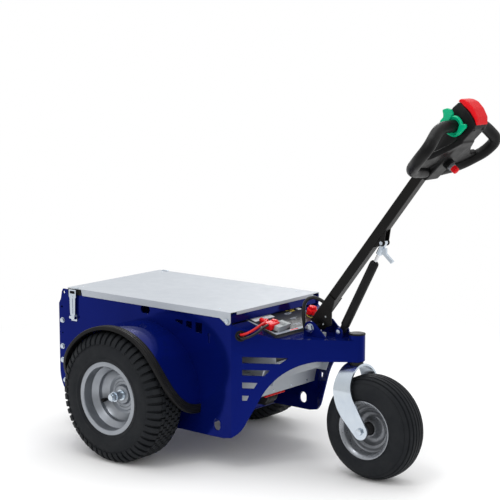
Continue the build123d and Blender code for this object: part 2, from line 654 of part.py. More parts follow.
# ---- lid ----------------------------------------------------------------------------
lid_half = BODY_HALF + LID_SIDE_GAP + LID_T
lid_rear_x = REAR_AXLE_X - LID_REAR
NOTCH = 61.0                # flange stops this far from the lid's rear edge, for the latch
EAR_BACK = 24.0             # rear end of each front ear from the lid's front edge
EAR_RAMP = 18.0             # flange's slope up from the ear
CORNER_TAB = 28.0           # open corner at each end of the front flange
with BuildPart() as lid:
    with BuildSketch(Plane.XY.offset(LID_TOP - LID_T)):
        with Locations(((FOLD_X + lid_rear_x) / 2, 0)):
            Rectangle(FOLD_X - lid_rear_x, 2 * lid_half)
    extrude(amount=LID_T)
    with BuildSketch(Plane.XZ.offset(lid_half)) as flange:
        with BuildLine():
            Polyline(
                (lid_rear_x + NOTCH, LID_TOP), (lid_rear_x + NOTCH + 6, LID_TOP - LID_FLANGE),
                (FOLD_X - EAR_BACK - EAR_RAMP, LID_TOP - LID_FLANGE), (FOLD_X - EAR_BACK, LID_PIVOT_Z - 5))
            RadiusArc((FOLD_X - EAR_BACK, LID_PIVOT_Z - 5), (FOLD_X, LID_PIVOT_Z - 3), -LID_EAR_R - 2)
            Polyline((FOLD_X, LID_PIVOT_Z - 3), (FOLD_X, LID_TOP), (lid_rear_x + NOTCH, LID_TOP))
        make_face()
        with Locations((LID_PIVOT_X, LID_PIVOT_Z)):
            Circle(LID_PIN_R + RUN, mode=Mode.SUBTRACT)
    extrude(amount=-LID_T)
    mirror(about=Plane.XZ)
    with BuildSketch(Plane.YZ.offset(FOLD_X - LID_T)):
        with Locations((0, LID_TOP - LID_FLANGE / 2)):
            Rectangle(2 * (BODY_HALF - CORNER_TAB), LID_FLANGE)
    extrude(amount=LID_T)
    with BuildSketch(Plane.YZ.offset(lid_rear_x)):
        with Locations((0, LID_TOP - LID_FLANGE / 2)):
            Rectangle(2 * (BODY_HALF - CORNER_TAB), LID_FLANGE)
    extrude(amount=LID_T)
save(lid.part, "lid")

# pivot bolts of the lid, fixed in the side plates
with BuildPart() as lid_bolt:
    with BuildSketch(Plane.XZ.offset(BODY_HALF)):
        with Locations((LID_PIVOT_X, LID_PIVOT_Z)):
            Circle(LID_PIN_R)
    extrude(amount=LID_SIDE_GAP + LID_T + 0.8)
    with BuildSketch(Plane.XZ.offset(lid_half + 0.8)):
        with Locations((LID_PIVOT_X, LID_PIVOT_Z)):
            RegularPolygon(9, 6)
    extrude(amount=5)
save_pair(lid_bolt.part, "lid_bolt")

# ---- draw latches at the lid's rear corners -----------------------------------------
latch_x = REAR_AXLE_X - LATCH_REACH
LATCH_PIN_R = 3.0
LATCH_OUT = 9.0             # latch pin from the side plate
with BuildPart() as latch_base:
    with BuildSketch(Plane.XZ.offset(BODY_HALF)):
        with Locations((latch_x, LATCH_PIVOT_Z)):
            Rectangle(26, 24)
    extrude(amount=2)
    for side in (-1, 1):
        with BuildSketch(Plane.YZ.offset(latch_x + side * 12)):
            with Locations((-BODY_HALF - LATCH_OUT / 2 - 1, LATCH_PIVOT_Z)):
                Rectangle(LATCH_OUT, 10)
        extrude(amount=-side * 2)
    with BuildSketch(Plane.YZ.offset(latch_x)):
        with Locations((-BODY_HALF - LATCH_OUT + 1.5, LATCH_PIVOT_Z)):
            Circle(LATCH_PIN_R)
    extrude(amount=12, both=True)
save_pair(latch_base.part, "latch_base")

latch_y = BODY_HALF + LATCH_OUT - 1.5
with BuildPart() as latch:
    with BuildSketch(Plane.XZ.offset(latch_y + 1.5)):
        with BuildLine():
            Polyline(
                (latch_x - 11, LATCH_PIVOT_Z + 8), (latch_x - 13, LATCH_TOP_Z - 28),
                (latch_x - LATCH_W / 2, LATCH_TOP_Z - 24), (latch_x - LATCH_W / 2, LATCH_TOP_Z),
                (latch_x + LATCH_W / 2, LATCH_TOP_Z), (latch_x + LATCH_W / 2, LATCH_TOP_Z - 24),
                (latch_x + 13, LATCH_TOP_Z - 28), (latch_x + 11, LATCH_PIVOT_Z + 8),
                (latch_x - 11, LATCH_PIVOT_Z + 8))
        make_face()
        with Locations((latch_x, LATCH_TOP_Z - 9)):
            Rectangle(22, 9, mode=Mode.SUBTRACT)
    extrude(amount=-3)
    with BuildSketch(Plane.YZ.offset(latch_x)):
        with Locations((-latch_y, LATCH_PIVOT_Z)):
            Circle(5)
        with Locations((-latch_y, LATCH_PIVOT_Z + 6)):
            Rectangle(3, 12)
    extrude(amount=8, both=True)
    with BuildSketch(Plane.YZ.offset(latch_x)):
        with Locations((-latch_y, LATCH_PIVOT_Z)):
            Circle(LATCH_PIN_R + RUN)
    extrude(amount=20, both=True, mode=Mode.SUBTRACT)
save_pair(latch.part, "latch")

# ---- tiller -------------------------------------------------------------------------
lean = math.radians(TILLER_ANGLE)
TILLER_X = REAR_AXLE_X + TILLER_REACH


def tiller_point(along, below, y=0.0):
    """Point given along the tiller from its pivot and below the tube's lower face."""
    return Vector(
        TILLER_X + along * math.cos(lean) + below * math.sin(lean), y,
        TILLER_Z + along * math.sin(lean) - below * math.cos(lean))


def tiller_plane(y=0.0):
    """Side view of the tiller: x runs along it, y is up from the tube's lower face."""
    return Plane(
        origin=tiller_point(0, 0, y), x_dir=(math.cos(lean), 0, math.sin(lean)), z_dir=(0, -1, 0))


with BuildPart() as tiller_tube:
    with BuildSketch(Plane(origin=tiller_point(TUBE_START, -TUBE_D / 2), x_dir=(0, 1, 0),
                           z_dir=(math.cos(lean), 0, math.sin(lean)))):
        RectangleRounded(TUBE_W, TUBE_D, 4)
        RectangleRounded(TUBE_W - 2 * TUBE_WALL, TUBE_D - 2 * TUBE_WALL, 1.5, mode=Mode.SUBTRACT)
    extrude(amount=TUBE_END - TUBE_START)
save(tiller_tube.part, "tiller_tube")

with BuildPart() as tiller_foot:
    with BuildSketch(tiller_plane(-TUBE_W / 2)):
        with BuildLine():
            Polyline(
                (-12, -12), (6, -19), (44, -39), (75, -15), (112, 0), (112, 24), (-4, 26), (-14, 12),
                (-12, -12))
        make_face()
        Circle(PIVOT_R + RUN, mode=Mode.SUBTRACT)
    extrude(amount=CHEEK_T)
    with BuildSketch(tiller_plane(TUBE_W / 2)):
        with BuildLine():
            Polyline((-12, -12), (6, -14), (14, 0), (112, 0), (112, 24), (-4, 26), (-14, 12), (-12, -12))
        make_face()
        Circle(PIVOT_R + RUN, mode=Mode.SUBTRACT)
    extrude(amount=-CHEEK_T)
    with BuildSketch(tiller_plane(0)):
        Circle(13)
        Circle(PIVOT_R + RUN, mode=Mode.SUBTRACT)
    extrude(amount=TUBE_W / 2, both=True)
save(tiller_foot.part, "tiller_foot")

# pivot bolt and the two ears that carry it
with BuildPart() as tiller_bolt:
    with BuildSketch(Plane.XZ.offset(-EAR_Y - EAR_T / 2)):
        with Locations((TILLER_X, TILLER_Z)):
            Circle(PIVOT_R)
    extrude(amount=2 * EAR_Y + EAR_T)
    for side in (-1, 1):
        with BuildSketch(Plane.XZ.offset(side * (EAR_Y + EAR_T / 2))):
            with Locations((TILLER_X, TILLER_Z)):
                RegularPolygon(14, 6)
        extrude(amount=side * 9)
save(tiller_bolt.part, "tiller_bolt")

with BuildPart() as tiller_ears:
    with BuildSketch(Plane.XZ.offset(EAR_Y - EAR_T / 2)):
        with BuildLine():
            Polyline(
                (TILLER_X - 24, NOSE_TOP), (TILLER_X - 21, TILLER_Z), (TILLER_X + 16, TILLER_Z + 16),
                (TILLER_X + 56, NOSE_TOP + 2), (TILLER_X + 56, NOSE_TOP), (TILLER_X - 24, NOSE_TOP))
        make_face()
        with Locations((TILLER_X, TILLER_Z)):
            Circle(21)
        with Locations((TILLER_X, TILLER_Z)):
            Circle(PIVOT_R, mode=Mode.SUBTRACT)
    extrude(amount=EAR_T)
    mirror(about=Plane.XZ)
for number, ear in enumerate(tiller_ears.solids()):
    side_name = "left" if ear.center().Y > 0 else "right"
    save(ear, f"tiller_ear_{side_name}")

# lugs for the lower end of the gas spring
low_x = REAR_AXLE_X + SPRING_LOW[0]
low_z = SPRING_LOW[1]
with BuildPart() as spring_lugs:
    with BuildSketch(Plane.XZ.offset(LUG_Y - 2)):
        with BuildLine():
            Polyline(
                (low_x - 13, NOSE_TOP), (low_x - 12, low_z), (low_x + 12, low_z), (low_x + 13, NOSE_TOP),
                (low_x - 13, NOSE_TOP))
        make_face()
        with Locations((low_x, low_z)):
            Circle(12)
    extrude(amount=4)
    mirror(about=Plane.XZ)
    with BuildSketch(Plane.XZ.offset(-LUG_Y - 4)):
        with Locations((low_x, low_z)):
            Circle(SPRING_PIN_R)
    extrude(amount=2 * (LUG_Y + 4))
save(spring_lugs.part, "spring_lugs")

# ---- gas spring ---------------------------------------------------------------------
high = tiller_point(SPRING_HIGH_U, SPRING_HIGH_W)
spring_run = Vector(high.X - low_x, 0, high.Z - low_z)
spring_length = spring_run.length
spring_dir = spring_run.normalized()
SLEEVE_TOP = 66.0           # top of the sleeve from the upper pin
ROD_END = 40.0              # foot of the rod end from the upper pin


def spring_plane(distance):
    """Cross-section of the gas spring at a distance from its lower pin."""
    return Plane(origin=Vector(low_x, 0, low_z) + spring_dir * distance, x_dir=(0, 1, 0), z_dir=spring_dir)


with BuildPart() as gas_cylinder:
    with BuildSketch(spring_plane(20)):
        Circle(SPRING_SLEEVE_R)
    extrude(amount=spring_length - SLEEVE_TOP - 20)
    with BuildSketch(spring_plane(20)):
        Rectangle(18, 18)
    extrude(amount=-20)
    with BuildSketch(Plane.XZ):
        with Locations((low_x, low_z)):
            Circle(9)
    extrude(amount=9, both=True)
    with BuildSketch(Plane.XZ):
        with Locations((low_x, low_z)):
            Circle(SPRING_PIN_R + RUN)
    extrude(amount=20, both=True, mode=Mode.SUBTRACT)
    with BuildSketch(spring_plane(120)):
        Circle(SPRING_ROD_R + RUN)
    extrude(amount=spring_length, mode=Mode.SUBTRACT)
save(gas_cylinder.part, "gas_cylinder")

with BuildPart() as gas_rod:
    with BuildSketch(spring_plane(spring_length - SLEEVE_TOP - 90)):
        Circle(SPRING_ROD_R)
    extrude(amount=90 + SLEEVE_TOP - ROD_END)
save(gas_rod.part, "gas_rod")

with BuildPart() as rod_end:
    with BuildSketch(spring_plane(spring_length - ROD_END)):
        Circle(9)
    extrude(amount=ROD_END - 20)
    with BuildSketch(spring_plane(spring_length - 20)):
        Rectangle(14, 14)
    extrude(amount=20)
    with BuildSketch(Plane.XZ):
        with Locations((high.X, high.Z)):
            Circle(SPRING_EYE_R)
    extrude(amount=7, both=True)
save(rod_end.part, "rod_end")

with BuildPart() as release_lever:
    with BuildSketch(Plane.XZ.offset(-4.5)):
        with BuildLine():
            Polyline(
                (high.X - 8, high.Z - 19), (high.X + 8, high.Z - 15), (high.X + 8, high.Z - 31),
                (high.X + 33, high.Z - 52), (high.X + 26, high.Z - 59), (high.X - 1, high.Z - 36),
                (high.X - 9, high.Z - 33), (high.X - 8, high.Z - 19))
        make_face()
    extrude(amount=9)
save(release_lever.part - rod_end.part, "release_lever")

# bracket on the tiller for the gas spring's upper pin
with BuildPart() as spring_bracket:
    with BuildSketch(tiller_plane(-SPRING_EAR_Y + 2)):
        with BuildLine():
            Polyline(
                (SPRING_HIGH_U - 10, -SPRING_HIGH_W), (SPRING_HIGH_U - 32, 0), (SPRING_HIGH_U + 40, 0),
                (SPRING_HIGH_U + 9, -SPRING_HIGH_W - 3), (SPRING_HIGH_U - 10, -SPRING_HIGH_W))
        make_face()
        with Locations((SPRING_HIGH_U, -SPRING_HIGH_W)):
            Circle(10)
    extrude(amount=4)
    mirror(about=Plane.XZ)
    with BuildSketch(tiller_plane(-SPRING_EAR_Y - 2)):
        with Locations((SPRING_HIGH_U, -SPRING_HIGH_W)):
            Circle(SPRING_PIN_R + 1)
    extrude(amount=3)
    mirror(about=Plane.XZ)
for ear in spring_bracket.solids():
    side_name = "left" if ear.center().Y > 0 else "right"
    save(ear, f"spring_ear_{side_name}")

# ---- tiller head --------------------------------------------------------------------
def tube_plane(along):
    """Cross-section of the tiller: x runs across it to the left, y is below the tube's lower face."""
    return Plane(
        origin=tiller_point(along, 0), x_dir=(0, -1, 0), z_dir=(math.cos(lean), 0, math.sin(lean)))


def belly_plane(below):
    """Plane facing down out of the head's underside, at the horn button."""
    return Plane(
        origin=tiller_point(HORN_U, below), x_dir=(0, 1, 0), z_dir=(math.sin(lean), 0, -math.cos(lean)))


def route_tube(points, radius):
    """Round tube along straight runs joined by arcs as large as the runs allow."""
    radii = []
    for before, corner, after in zip(points, points[1:], points[2:]):
        turn = math.radians((corner - before).get_angle(after - corner))
        shorter = min((corner - before).length, (after - corner).length)
        radii.append(0.45 * shorter / math.tan(turn / 2))
    with BuildPart() as tube:
        with BuildLine() as route:
            FilletPolyline(*points, radius=radii)
        with BuildSketch(Plane(origin=route.line @ 0, z_dir=route.line % 0)):
            Circle(radius)
        sweep()
    return tube.part


HEAD_HALF = 34.0
HEAD_END = THROTTLE_U + 58      # face that the stop button sits on
FLARE = HEAD_START + 130        # underside where the web's fold ends
BEND = HEAD_END - 28            # housing's corners by the stop button
HEAD_RISE = 47.0            # housing's top above the tube's lower face
SIDE_LEAN_IN = 12.0         # sides lean in above the throttles
# side view of the housing: (along the tiller, below the tube's lower face)
HEAD_SIDE = ((HEAD_START, TUBE_D / -2 - 14), (HEAD_START + 10, 19), (HEAD_START + 70, 27), (FLARE, 36),
             (FLARE + 52, 42), (BEND, 47), (BEND + 12, 44), (HEAD_END - 7, 29), (HEAD_END - 1, 8),
             (HEAD_END, -9), (HEAD_END - 1, -36), (HEAD_END - 5, -HEAD_RISE + 6), (BEND, -HEAD_RISE),
             (THROTTLE_U - 92, -HEAD_RISE + 4), (TUBE_END, -TUBE_D - 9))

# plate between the housing and each handle
WEB_T = 17.0
WEB_LOW = (THROTTLE_U - 170, 3.0)       # its underside near the tube: (along, below)
WEB_HIGH = (THROTTLE_U - 51, 36.0)      # its underside near the throttles
# half plan of the plate: (along from the throttles' axis, out), up the handle and back by the finger hole
WEB_PLAN = ((-180, 0), (-174, 40), (-154, 126), (-118, 152), (-92, 150), (-88, 104), (-64, 72), (-48, 55),
            (-20, HEAD_HALF - 2), (-20, 0))

GRIP_R = 17.5
THROTTLE_W = -4.0           # throttle's axis below the tube's lower face
# middle line of the right-hand handle: along from the throttles' axis, below, out
GRIP_ROUTE = ((-164, 2, 14), (-146, 8, 130), (-80, 29, 176), (-32, 34, 181), (0, THROTTLE_W, 112),
              (0, THROTTLE_W, 30))

THROTTLE_R = 28.0
THROTTLE_T = 8.0
PADDLE_T = 12.0
# outlines of the throttle's two paddles about its axis: (along, above)
PADDLES = (((-22, 15), (-19, 38), (-13, 41), (2, 39), (8, 47), (15, 53), (27, 45), (33, 32), (26, 18)),
           ((2, -24), (17, -31), (24, -25), (26, -8)))

CAP_HALF = 31.0
CAP_STEM_R = 8.0
CAP_STEM = 60.0
# side view of the stop button's outer face: (along from the housing's end, below)
CAP_FACE = ((-3, -44), (6, -43), (14, -30), (17, -16), (14, 8), (3, 33), (-15, 47), (-44, 0))
CAP_SHOULDER = -16.0        # sides lean in above this
CAP_CROWN_HALF = 22.0

HORN_U = THROTTLE_U - 108
HORN_NUT = (17.0, 24.0, 42.0)       # radius, from and to below the tube's lower face
HORN_COLLAR = (11.5, 42.0, 50.0)
HORN_CAP = (9.0, 50.0, 67.0)

web_slope = math.atan2(WEB_HIGH[1] - WEB_LOW[1], WEB_HIGH[0] - WEB_LOW[0])
web_run = Vector(math.cos(lean - web_slope), 0, math.sin(lean - web_slope))
web_up = Vector(-math.sin(lean - web_slope), 0, math.cos(lean - web_slope))

with BuildPart() as grip:
    add(route_tube(
        [tiller_point(THROTTLE_U + along, below, -out) for along, below, out in GRIP_ROUTE], GRIP_R))

with BuildPart() as housing:
    with BuildSketch(tiller_plane(0)):
        Polygon(*[(along, -below) for along, below in HEAD_SIDE], align=None)
    extrude(amount=HEAD_HALF, both=True)
    with BuildSketch(tube_plane(HEAD_START - 10)):
        Polygon(
            (-HEAD_HALF, 60), (HEAD_HALF, 60), (HEAD_HALF, -6), (HEAD_HALF - SIDE_LEAN_IN, -HEAD_RISE - 2),
            (-HEAD_HALF + SIDE_LEAN_IN, -HEAD_RISE - 2), (-HEAD_HALF, -6), align=None)
    extrude(amount=HEAD_END - HEAD_START + 30, mode=Mode.INTERSECT)
with BuildPart() as web:
    with BuildSketch(Plane(origin=tiller_point(*WEB_LOW), x_dir=web_run, z_dir=web_up)):
        for side in (-1, 1):
            Polygon(
                *[((THROTTLE_U + along - WEB_LOW[0]) / math.cos(web_slope), side * out)
                  for along, out in WEB_PLAN], align=None)
    extrude(amount=WEB_T)
with BuildPart() as cap_stem:
    with BuildSketch(tube_plane(HEAD_END - CAP_STEM + 14)):
        Circle(CAP_STEM_R)
    extrude(amount=CAP_STEM)
both_grips = [grip.part, mirror(grip.part, about=Plane.XZ)]
head_body = (housing.part + (web.part - both_grips)) - tiller_tube.part - cap_stem.part
save(head_body, "head_body")
save_pair(grip.part - housing.part, "grip")

with BuildPart() as cap_block:
    with BuildSketch(tiller_plane(0)):
        Polygon(*[(HEAD_END + along, -below) for along, below in CAP_FACE], align=None)
    extrude(amount=CAP_HALF, both=True)
    with BuildSketch(tube_plane(HEAD_START)):
        Polygon(
            (-CAP_HALF, 60), (CAP_HALF, 60), (CAP_HALF, CAP_SHOULDER), (CAP_CROWN_HALF, -50),
            (-CAP_CROWN_HALF, -50), (-CAP_HALF, CAP_SHOULDER), align=None)
    extrude(amount=HEAD_END, mode=Mode.INTERSECT)
save((cap_block.part - housing.part) + cap_stem.part, "stop_cap")

with BuildPart() as throttle:
    with BuildSketch(tiller_plane(-HEAD_HALF - 2)):
        with Locations((THROTTLE_U, -THROTTLE_W)):
            Circle(THROTTLE_R)
    extrude(amount=THROTTLE_T)
    with BuildSketch(tiller_plane(-HEAD_HALF - 2)):
        for paddle in PADDLES:
            Polygon(*[(THROTTLE_U + along, -THROTTLE_W + above) for along, above in paddle], align=None)
    extrude(amount=PADDLE_T)
    with BuildSketch(tiller_plane(-HEAD_HALF)):
        with Locations((THROTTLE_U, -THROTTLE_W)):
            Circle(GRIP_R + RUN)
    extrude(amount=2 * PADDLE_T, mode=Mode.SUBTRACT)
save_pair(throttle.part, "throttle")

with BuildPart() as horn_button:
    with BuildSketch(belly_plane(HORN_NUT[1])):
        RegularPolygon(HORN_NUT[0], 6)
    extrude(amount=HORN_NUT[2] - HORN_NUT[1])
    for radius, start, end in (HORN_COLLAR, HORN_CAP):
        with BuildSketch(belly_plane(start)):
            Circle(radius)
        extrude(amount=end - start)
save(horn_button.part - housing.part, "horn_button")

# ---- battery connector, boot and cables ---------------------------------------------
def battery_point(back, y, up):
    """Point on the battery's top face, back from its front edge and up from the face."""
    return Vector(
        REAR_AXLE_X + BATTERY_FRONT_REACH - back * math.cos(tilt) + up * math.sin(tilt), y,
        BATTERY_FRONT_Z + back * math.sin(tilt) + up * math.cos(tilt))


battery_top = Plane(
    origin=battery_point(0, 0, SEAT), x_dir=(-math.cos(tilt), 0, math.sin(tilt)),
    z_dir=(math.sin(tilt), 0, math.cos(tilt)))
battery_half = BATTERY_W / 2
CONNECTOR_AT = (28.0, battery_half - 37, 20.0)      # back from the battery's front, to the right, turn
CONNECTOR_SIZE = (50.0, 40.0, 16.0)
HANDLE_AT = (70.0, battery_half - 27, -40.0)        # T-handle of the connector, on the battery's top
HANDLE_SIZE = (78.0, 13.0, 14.0)
HANDLE_LINK = (44.0, battery_half - 35, 36.0, 12.0, 9.0)    # bar from the handle to the connector
with BuildPart() as connector:
    with BuildSketch(battery_top):
        with Locations(Location((CONNECTOR_AT[0], CONNECTOR_AT[1]), CONNECTOR_AT[2])):
            Rectangle(CONNECTOR_SIZE[0], CONNECTOR_SIZE[1])
    extrude(amount=CONNECTOR_SIZE[2])
    with BuildSketch(battery_top):
        with Locations(Location((HANDLE_AT[0], HANDLE_AT[1]), HANDLE_AT[2])):
            RectangleRounded(HANDLE_SIZE[0], HANDLE_SIZE[1], 5)
    extrude(amount=HANDLE_SIZE[2])
    with BuildSketch(battery_top):
        with Locations(HANDLE_LINK[:2]):
            Rectangle(HANDLE_LINK[2], HANDLE_LINK[3])
    extrude(amount=HANDLE_LINK[4])
save(connector.part, "connector")

BOOT_AT = (62.0, 15 - battery_half)
BOOT_R = 18.0
BOOT_H = 30.0
with BuildPart() as boot:
    with BuildSketch(battery_top):
        with Locations(BOOT_AT):
            RegularPolygon(BOOT_R, 8)
    extrude(amount=BOOT_H)
    chamfer(boot.edges().group_by(Axis.Z)[-1], 5)
save(boot.part, "terminal_boot")


def from_axle(x, y, z):
    """Point given from the rear axle, the centre plane and the floor."""
    return Vector(REAR_AXLE_X + x, y, z)


# grommet on the right-hand nose plate, with the two battery cables
with BuildPart() as grommet:
    with BuildSketch(nose_plane(0)):
        with Locations((GROMMET_S, GROMMET_Z)):
            Circle(GROMMET_R)
            Circle(GROMMET_BORE_R, mode=Mode.SUBTRACT)
    extrude(amount=4)
    with BuildSketch(nose_plane(0)):
        with Locations((GROMMET_S, GROMMET_Z)):
            Circle(GROMMET_SEAT_R)
            Circle(GROMMET_BORE_R, mode=Mode.SUBTRACT)
    extrude(amount=-PLATE - 2)
save(grommet.part, "cable_grommet")

def by_grommet(along, out, up):
    """Point given along the nose plate from the grommet's middle, out of the plate's face, and up."""
    face = nose_plane(0)
    return face.origin + face.x_dir * (GROMMET_S + along) + face.z_dir * out + Vector(0, 0, GROMMET_Z + up)


BATTERY_CABLE_R = 4.0
# start of each cable: from the rear axle, beyond the battery's side, and from the floor
RED_START = ((405, -13, 449), (410, 7, 450), (414, 29, 447), (412, 51, 439))
BLACK_START = ((417, -13, 445), (423, 9, 445), (428, 33, 442), (425, 55, 431))
RED_END = ((23.2, 14.5, 12), (7.4, 15.3, 6.5), (-0.1, 6.5, 4.2), (-0, -13.4, 4.2))
BLACK_END = ((29.1, 24.1, 2.5), (9.7, 24.9, -3.5), (-0.1, 14.1, -4.3), (-0, -11.5, -4.3))
for start, end, name in ((RED_START, RED_END, "red_cable"), (BLACK_START, BLACK_END, "black_cable")):
    cable_route = [from_axle(x, -battery_half - beyond, z) for x, beyond, z in start]
    cable_route += [by_grommet(*p) for p in end]
    save(route_tube(cable_route, BATTERY_CABLE_R), name)

TILLER_CABLE_R = 5.5
tiller_route = [from_axle(*p) for p in (
    (485, -30, 412), (480, -31.5, 446), (477, -31, 481), (479, -27, 508), (491, -14, 521), (510, -2, 519),
    (530.4, 3.7, 506.8))]
save(route_tube(tiller_route, TILLER_CABLE_R), "tiller_cable")
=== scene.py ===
"""Looks of a walk-behind electric tow tug: its finishes, moulded pieces, hardware and studio.

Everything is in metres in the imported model's own frame: +X to the tiller, +Y to the left,
+Z up, the origin on the floor. Positions come from the frame's nodes.
"""
import json
import logging
import math
from dataclasses import dataclass, field
from enum import Enum
from typing import Callable, Iterable, Sequence

import bmesh
import bpy
from mathutils import Matrix, Vector

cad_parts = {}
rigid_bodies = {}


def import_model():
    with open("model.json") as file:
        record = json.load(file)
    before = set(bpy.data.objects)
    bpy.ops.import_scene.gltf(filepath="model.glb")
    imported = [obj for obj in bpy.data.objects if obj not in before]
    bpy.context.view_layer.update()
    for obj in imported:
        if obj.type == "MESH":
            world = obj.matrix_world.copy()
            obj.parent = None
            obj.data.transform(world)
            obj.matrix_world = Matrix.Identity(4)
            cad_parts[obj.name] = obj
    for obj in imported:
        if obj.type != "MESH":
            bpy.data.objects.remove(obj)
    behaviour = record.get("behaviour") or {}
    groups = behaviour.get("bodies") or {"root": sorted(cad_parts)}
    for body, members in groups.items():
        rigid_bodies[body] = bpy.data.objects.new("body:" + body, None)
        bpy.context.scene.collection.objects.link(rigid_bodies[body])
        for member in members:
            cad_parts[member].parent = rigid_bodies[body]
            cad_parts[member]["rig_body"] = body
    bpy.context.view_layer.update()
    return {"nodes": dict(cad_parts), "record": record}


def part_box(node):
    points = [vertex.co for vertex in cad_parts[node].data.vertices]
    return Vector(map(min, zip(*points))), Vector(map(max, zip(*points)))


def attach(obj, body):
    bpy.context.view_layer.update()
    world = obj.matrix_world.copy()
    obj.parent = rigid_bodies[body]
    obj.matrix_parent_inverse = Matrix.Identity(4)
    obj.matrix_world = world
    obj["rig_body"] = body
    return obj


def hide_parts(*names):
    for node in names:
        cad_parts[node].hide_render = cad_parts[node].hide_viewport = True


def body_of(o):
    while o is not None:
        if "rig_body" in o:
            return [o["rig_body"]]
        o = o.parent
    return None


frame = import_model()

log = logging.getLogger("tow_tug")
Colour = tuple[float, float, float]
Point = tuple[float, float, float]
Profile = Sequence[tuple[float, float]]
Shape = bmesh.types.BMesh

AXLE_X = -0.302
REAR_AXLE_TO_FOLD = 0.350
NOSE_TOP = 0.411
DRIFT_SPAN = (0.38, 0.66)       # noise values over which the colour drifts
ROUGH_SPAN = (0.3, 0.7)         # noise values over which the roughness changes


class Side(Enum):
    """Left or right of the machine, as the sign of Y."""

    LEFT = 1.0
    RIGHT = -1.0

    @property
    def word(self) -> str:
        """Name ending of this side's nodes."""
        return "left" if self is Side.LEFT else "right"

    def outer(self, node: str) -> float:
        """Return how far a node reaches along Y on this side."""
        low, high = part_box(node)
        return high[1] if self is Side.LEFT else low[1]


# ---- finishes ------------------------------------------------------------------------
@dataclass(frozen=True)
class Finish:
    """A surface finish with fine variation of colour, roughness and relief.

    Attributes:
        name: Name of the material.
        slot: Material slot of the record that it stands for; not used.
        colour: Main colour, linear.
        shade: Second colour that broad patches drift towards.
        patch: Patches per metre of the colour drift.
        drift: Share of the second colour where the drift is strongest.
        rough: Lowest and highest roughness.
        metal: Metallic share.
        grain: Relief cells per metre.
        relief: Height of the relief in metres.
        coat: Weight of a clear coat.
        coat_rough: Roughness of the clear coat.
        specular: Specular level.
    """

    name: str
    slot: str
    colour: Colour
    shade: Colour
    patch: float = 14.0
    drift: float = 0.35
    rough: tuple[float, float] = (0.4, 0.5)
    metal: float = 0.0
    grain: float = 900.0
    relief: float = 0.00004
    coat: float = 0.0
    coat_rough: float = 0.05
    specular: float = 0.5

    def material(self) -> bpy.types.Material:
        """Return this finish's material, made once."""
        known = bpy.data.materials.get(self.name)
        if known is not None:
            return known
        made = bpy.data.materials.new(self.name)
        made.use_nodes = True
        tree = made.node_tree
        shader = tree.nodes["Principled BSDF"]
        shader.inputs["Metallic"].default_value = self.metal
        shader.inputs["Coat Weight"].default_value = self.coat
        shader.inputs["Coat Roughness"].default_value = self.coat_rough
        shader.inputs["Specular IOR Level"].default_value = self.specular
        place = tree.nodes.new("ShaderNodeTexCoord").outputs["Object"]
        self.paint(tree, shader, place)
        return made

    def paint(self, tree: bpy.types.NodeTree, shader: bpy.types.Node, place: bpy.types.NodeSocket) -> None:
        """Link colour drift, roughness and relief to the shader.

        Args:
            tree: The material's nodes.
            shader: Its Principled shader.
            place: Object coordinates.
        """
        broad = noise(tree, place, self.patch, 4.0)
        mix = tree.nodes.new("ShaderNodeMix")
        mix.data_type = "RGBA"
        spread = span(tree, broad, DRIFT_SPAN, (0.0, self.drift))
        tree.links.new(spread, mix.inputs["Factor"])
        mix.inputs["A"].default_value = (*self.colour, 1.0)
        mix.inputs["B"].default_value = (*self.shade, 1.0)
        tree.links.new(mix.outputs["Result"], shader.inputs["Base Color"])
        tree.links.new(span(tree, noise(tree, place, self.patch * 5.0, 3.0), ROUGH_SPAN, self.rough),
                       shader.inputs["Roughness"])
        tree.links.new(bump(tree, noise(tree, place, self.grain, 2.0), self.relief), shader.inputs["Normal"])


def noise(tree: bpy.types.NodeTree, place: bpy.types.NodeSocket, scale: float, detail: float) -> bpy.types.NodeSocket:
    """Return the value of a noise texture.

    Args:
        tree: Nodes to add it to.
        place: Coordinates that it reads.
        scale: Cells per metre.
        detail: Octaves of finer noise.
    """
    node = tree.nodes.new("ShaderNodeTexNoise")
    node.inputs["Scale"].default_value = scale
    node.inputs["Detail"].default_value = detail
    tree.links.new(place, node.inputs["Vector"])
    return node.outputs["Fac"]


def span(tree: bpy.types.NodeTree, value: bpy.types.NodeSocket, given: tuple[float, float],
         wanted: tuple[float, float]) -> bpy.types.NodeSocket:
    """Return a value mapped and clamped from one range to another.

    Args:
        tree: Nodes to add the map to.
        value: The value.
        given: Range that it has.
        wanted: Range that it gets.
    """
    node = tree.nodes.new("ShaderNodeMapRange")
    node.inputs["From Min"].default_value, node.inputs["From Max"].default_value = given
    node.inputs["To Min"].default_value, node.inputs["To Max"].default_value = wanted
    tree.links.new(value, node.inputs["Value"])
    return node.outputs["Result"]


def bump(tree: bpy.types.NodeTree, height: bpy.types.NodeSocket, distance: float) -> bpy.types.NodeSocket:
    """Return a normal roughened by a height.

    Args:
        tree: Nodes to add it to.
        height: Height from 0 to 1.
        distance: Metres that a height of 1 stands for.
    """
    node = tree.nodes.new("ShaderNodeBump")
    node.inputs["Strength"].default_value = 1.0
    node.inputs["Distance"].default_value = distance
    tree.links.new(height, node.inputs["Height"])
    return node.outputs["Normal"]


def sum_node(tree: bpy.types.NodeTree, kind: str, operation: str, *values: bpy.types.NodeSocket) -> bpy.types.Node:
    """Return a node that works on the given values in turn.

    Args:
        tree: Nodes to add it to.
        kind: Type of the node.
        operation: What it does.
        values: Its first inputs.
    """
    node = tree.nodes.new(kind)
    node.operation = operation
    for socket, value in zip(node.inputs, values):
        tree.links.new(value, socket)
    return node


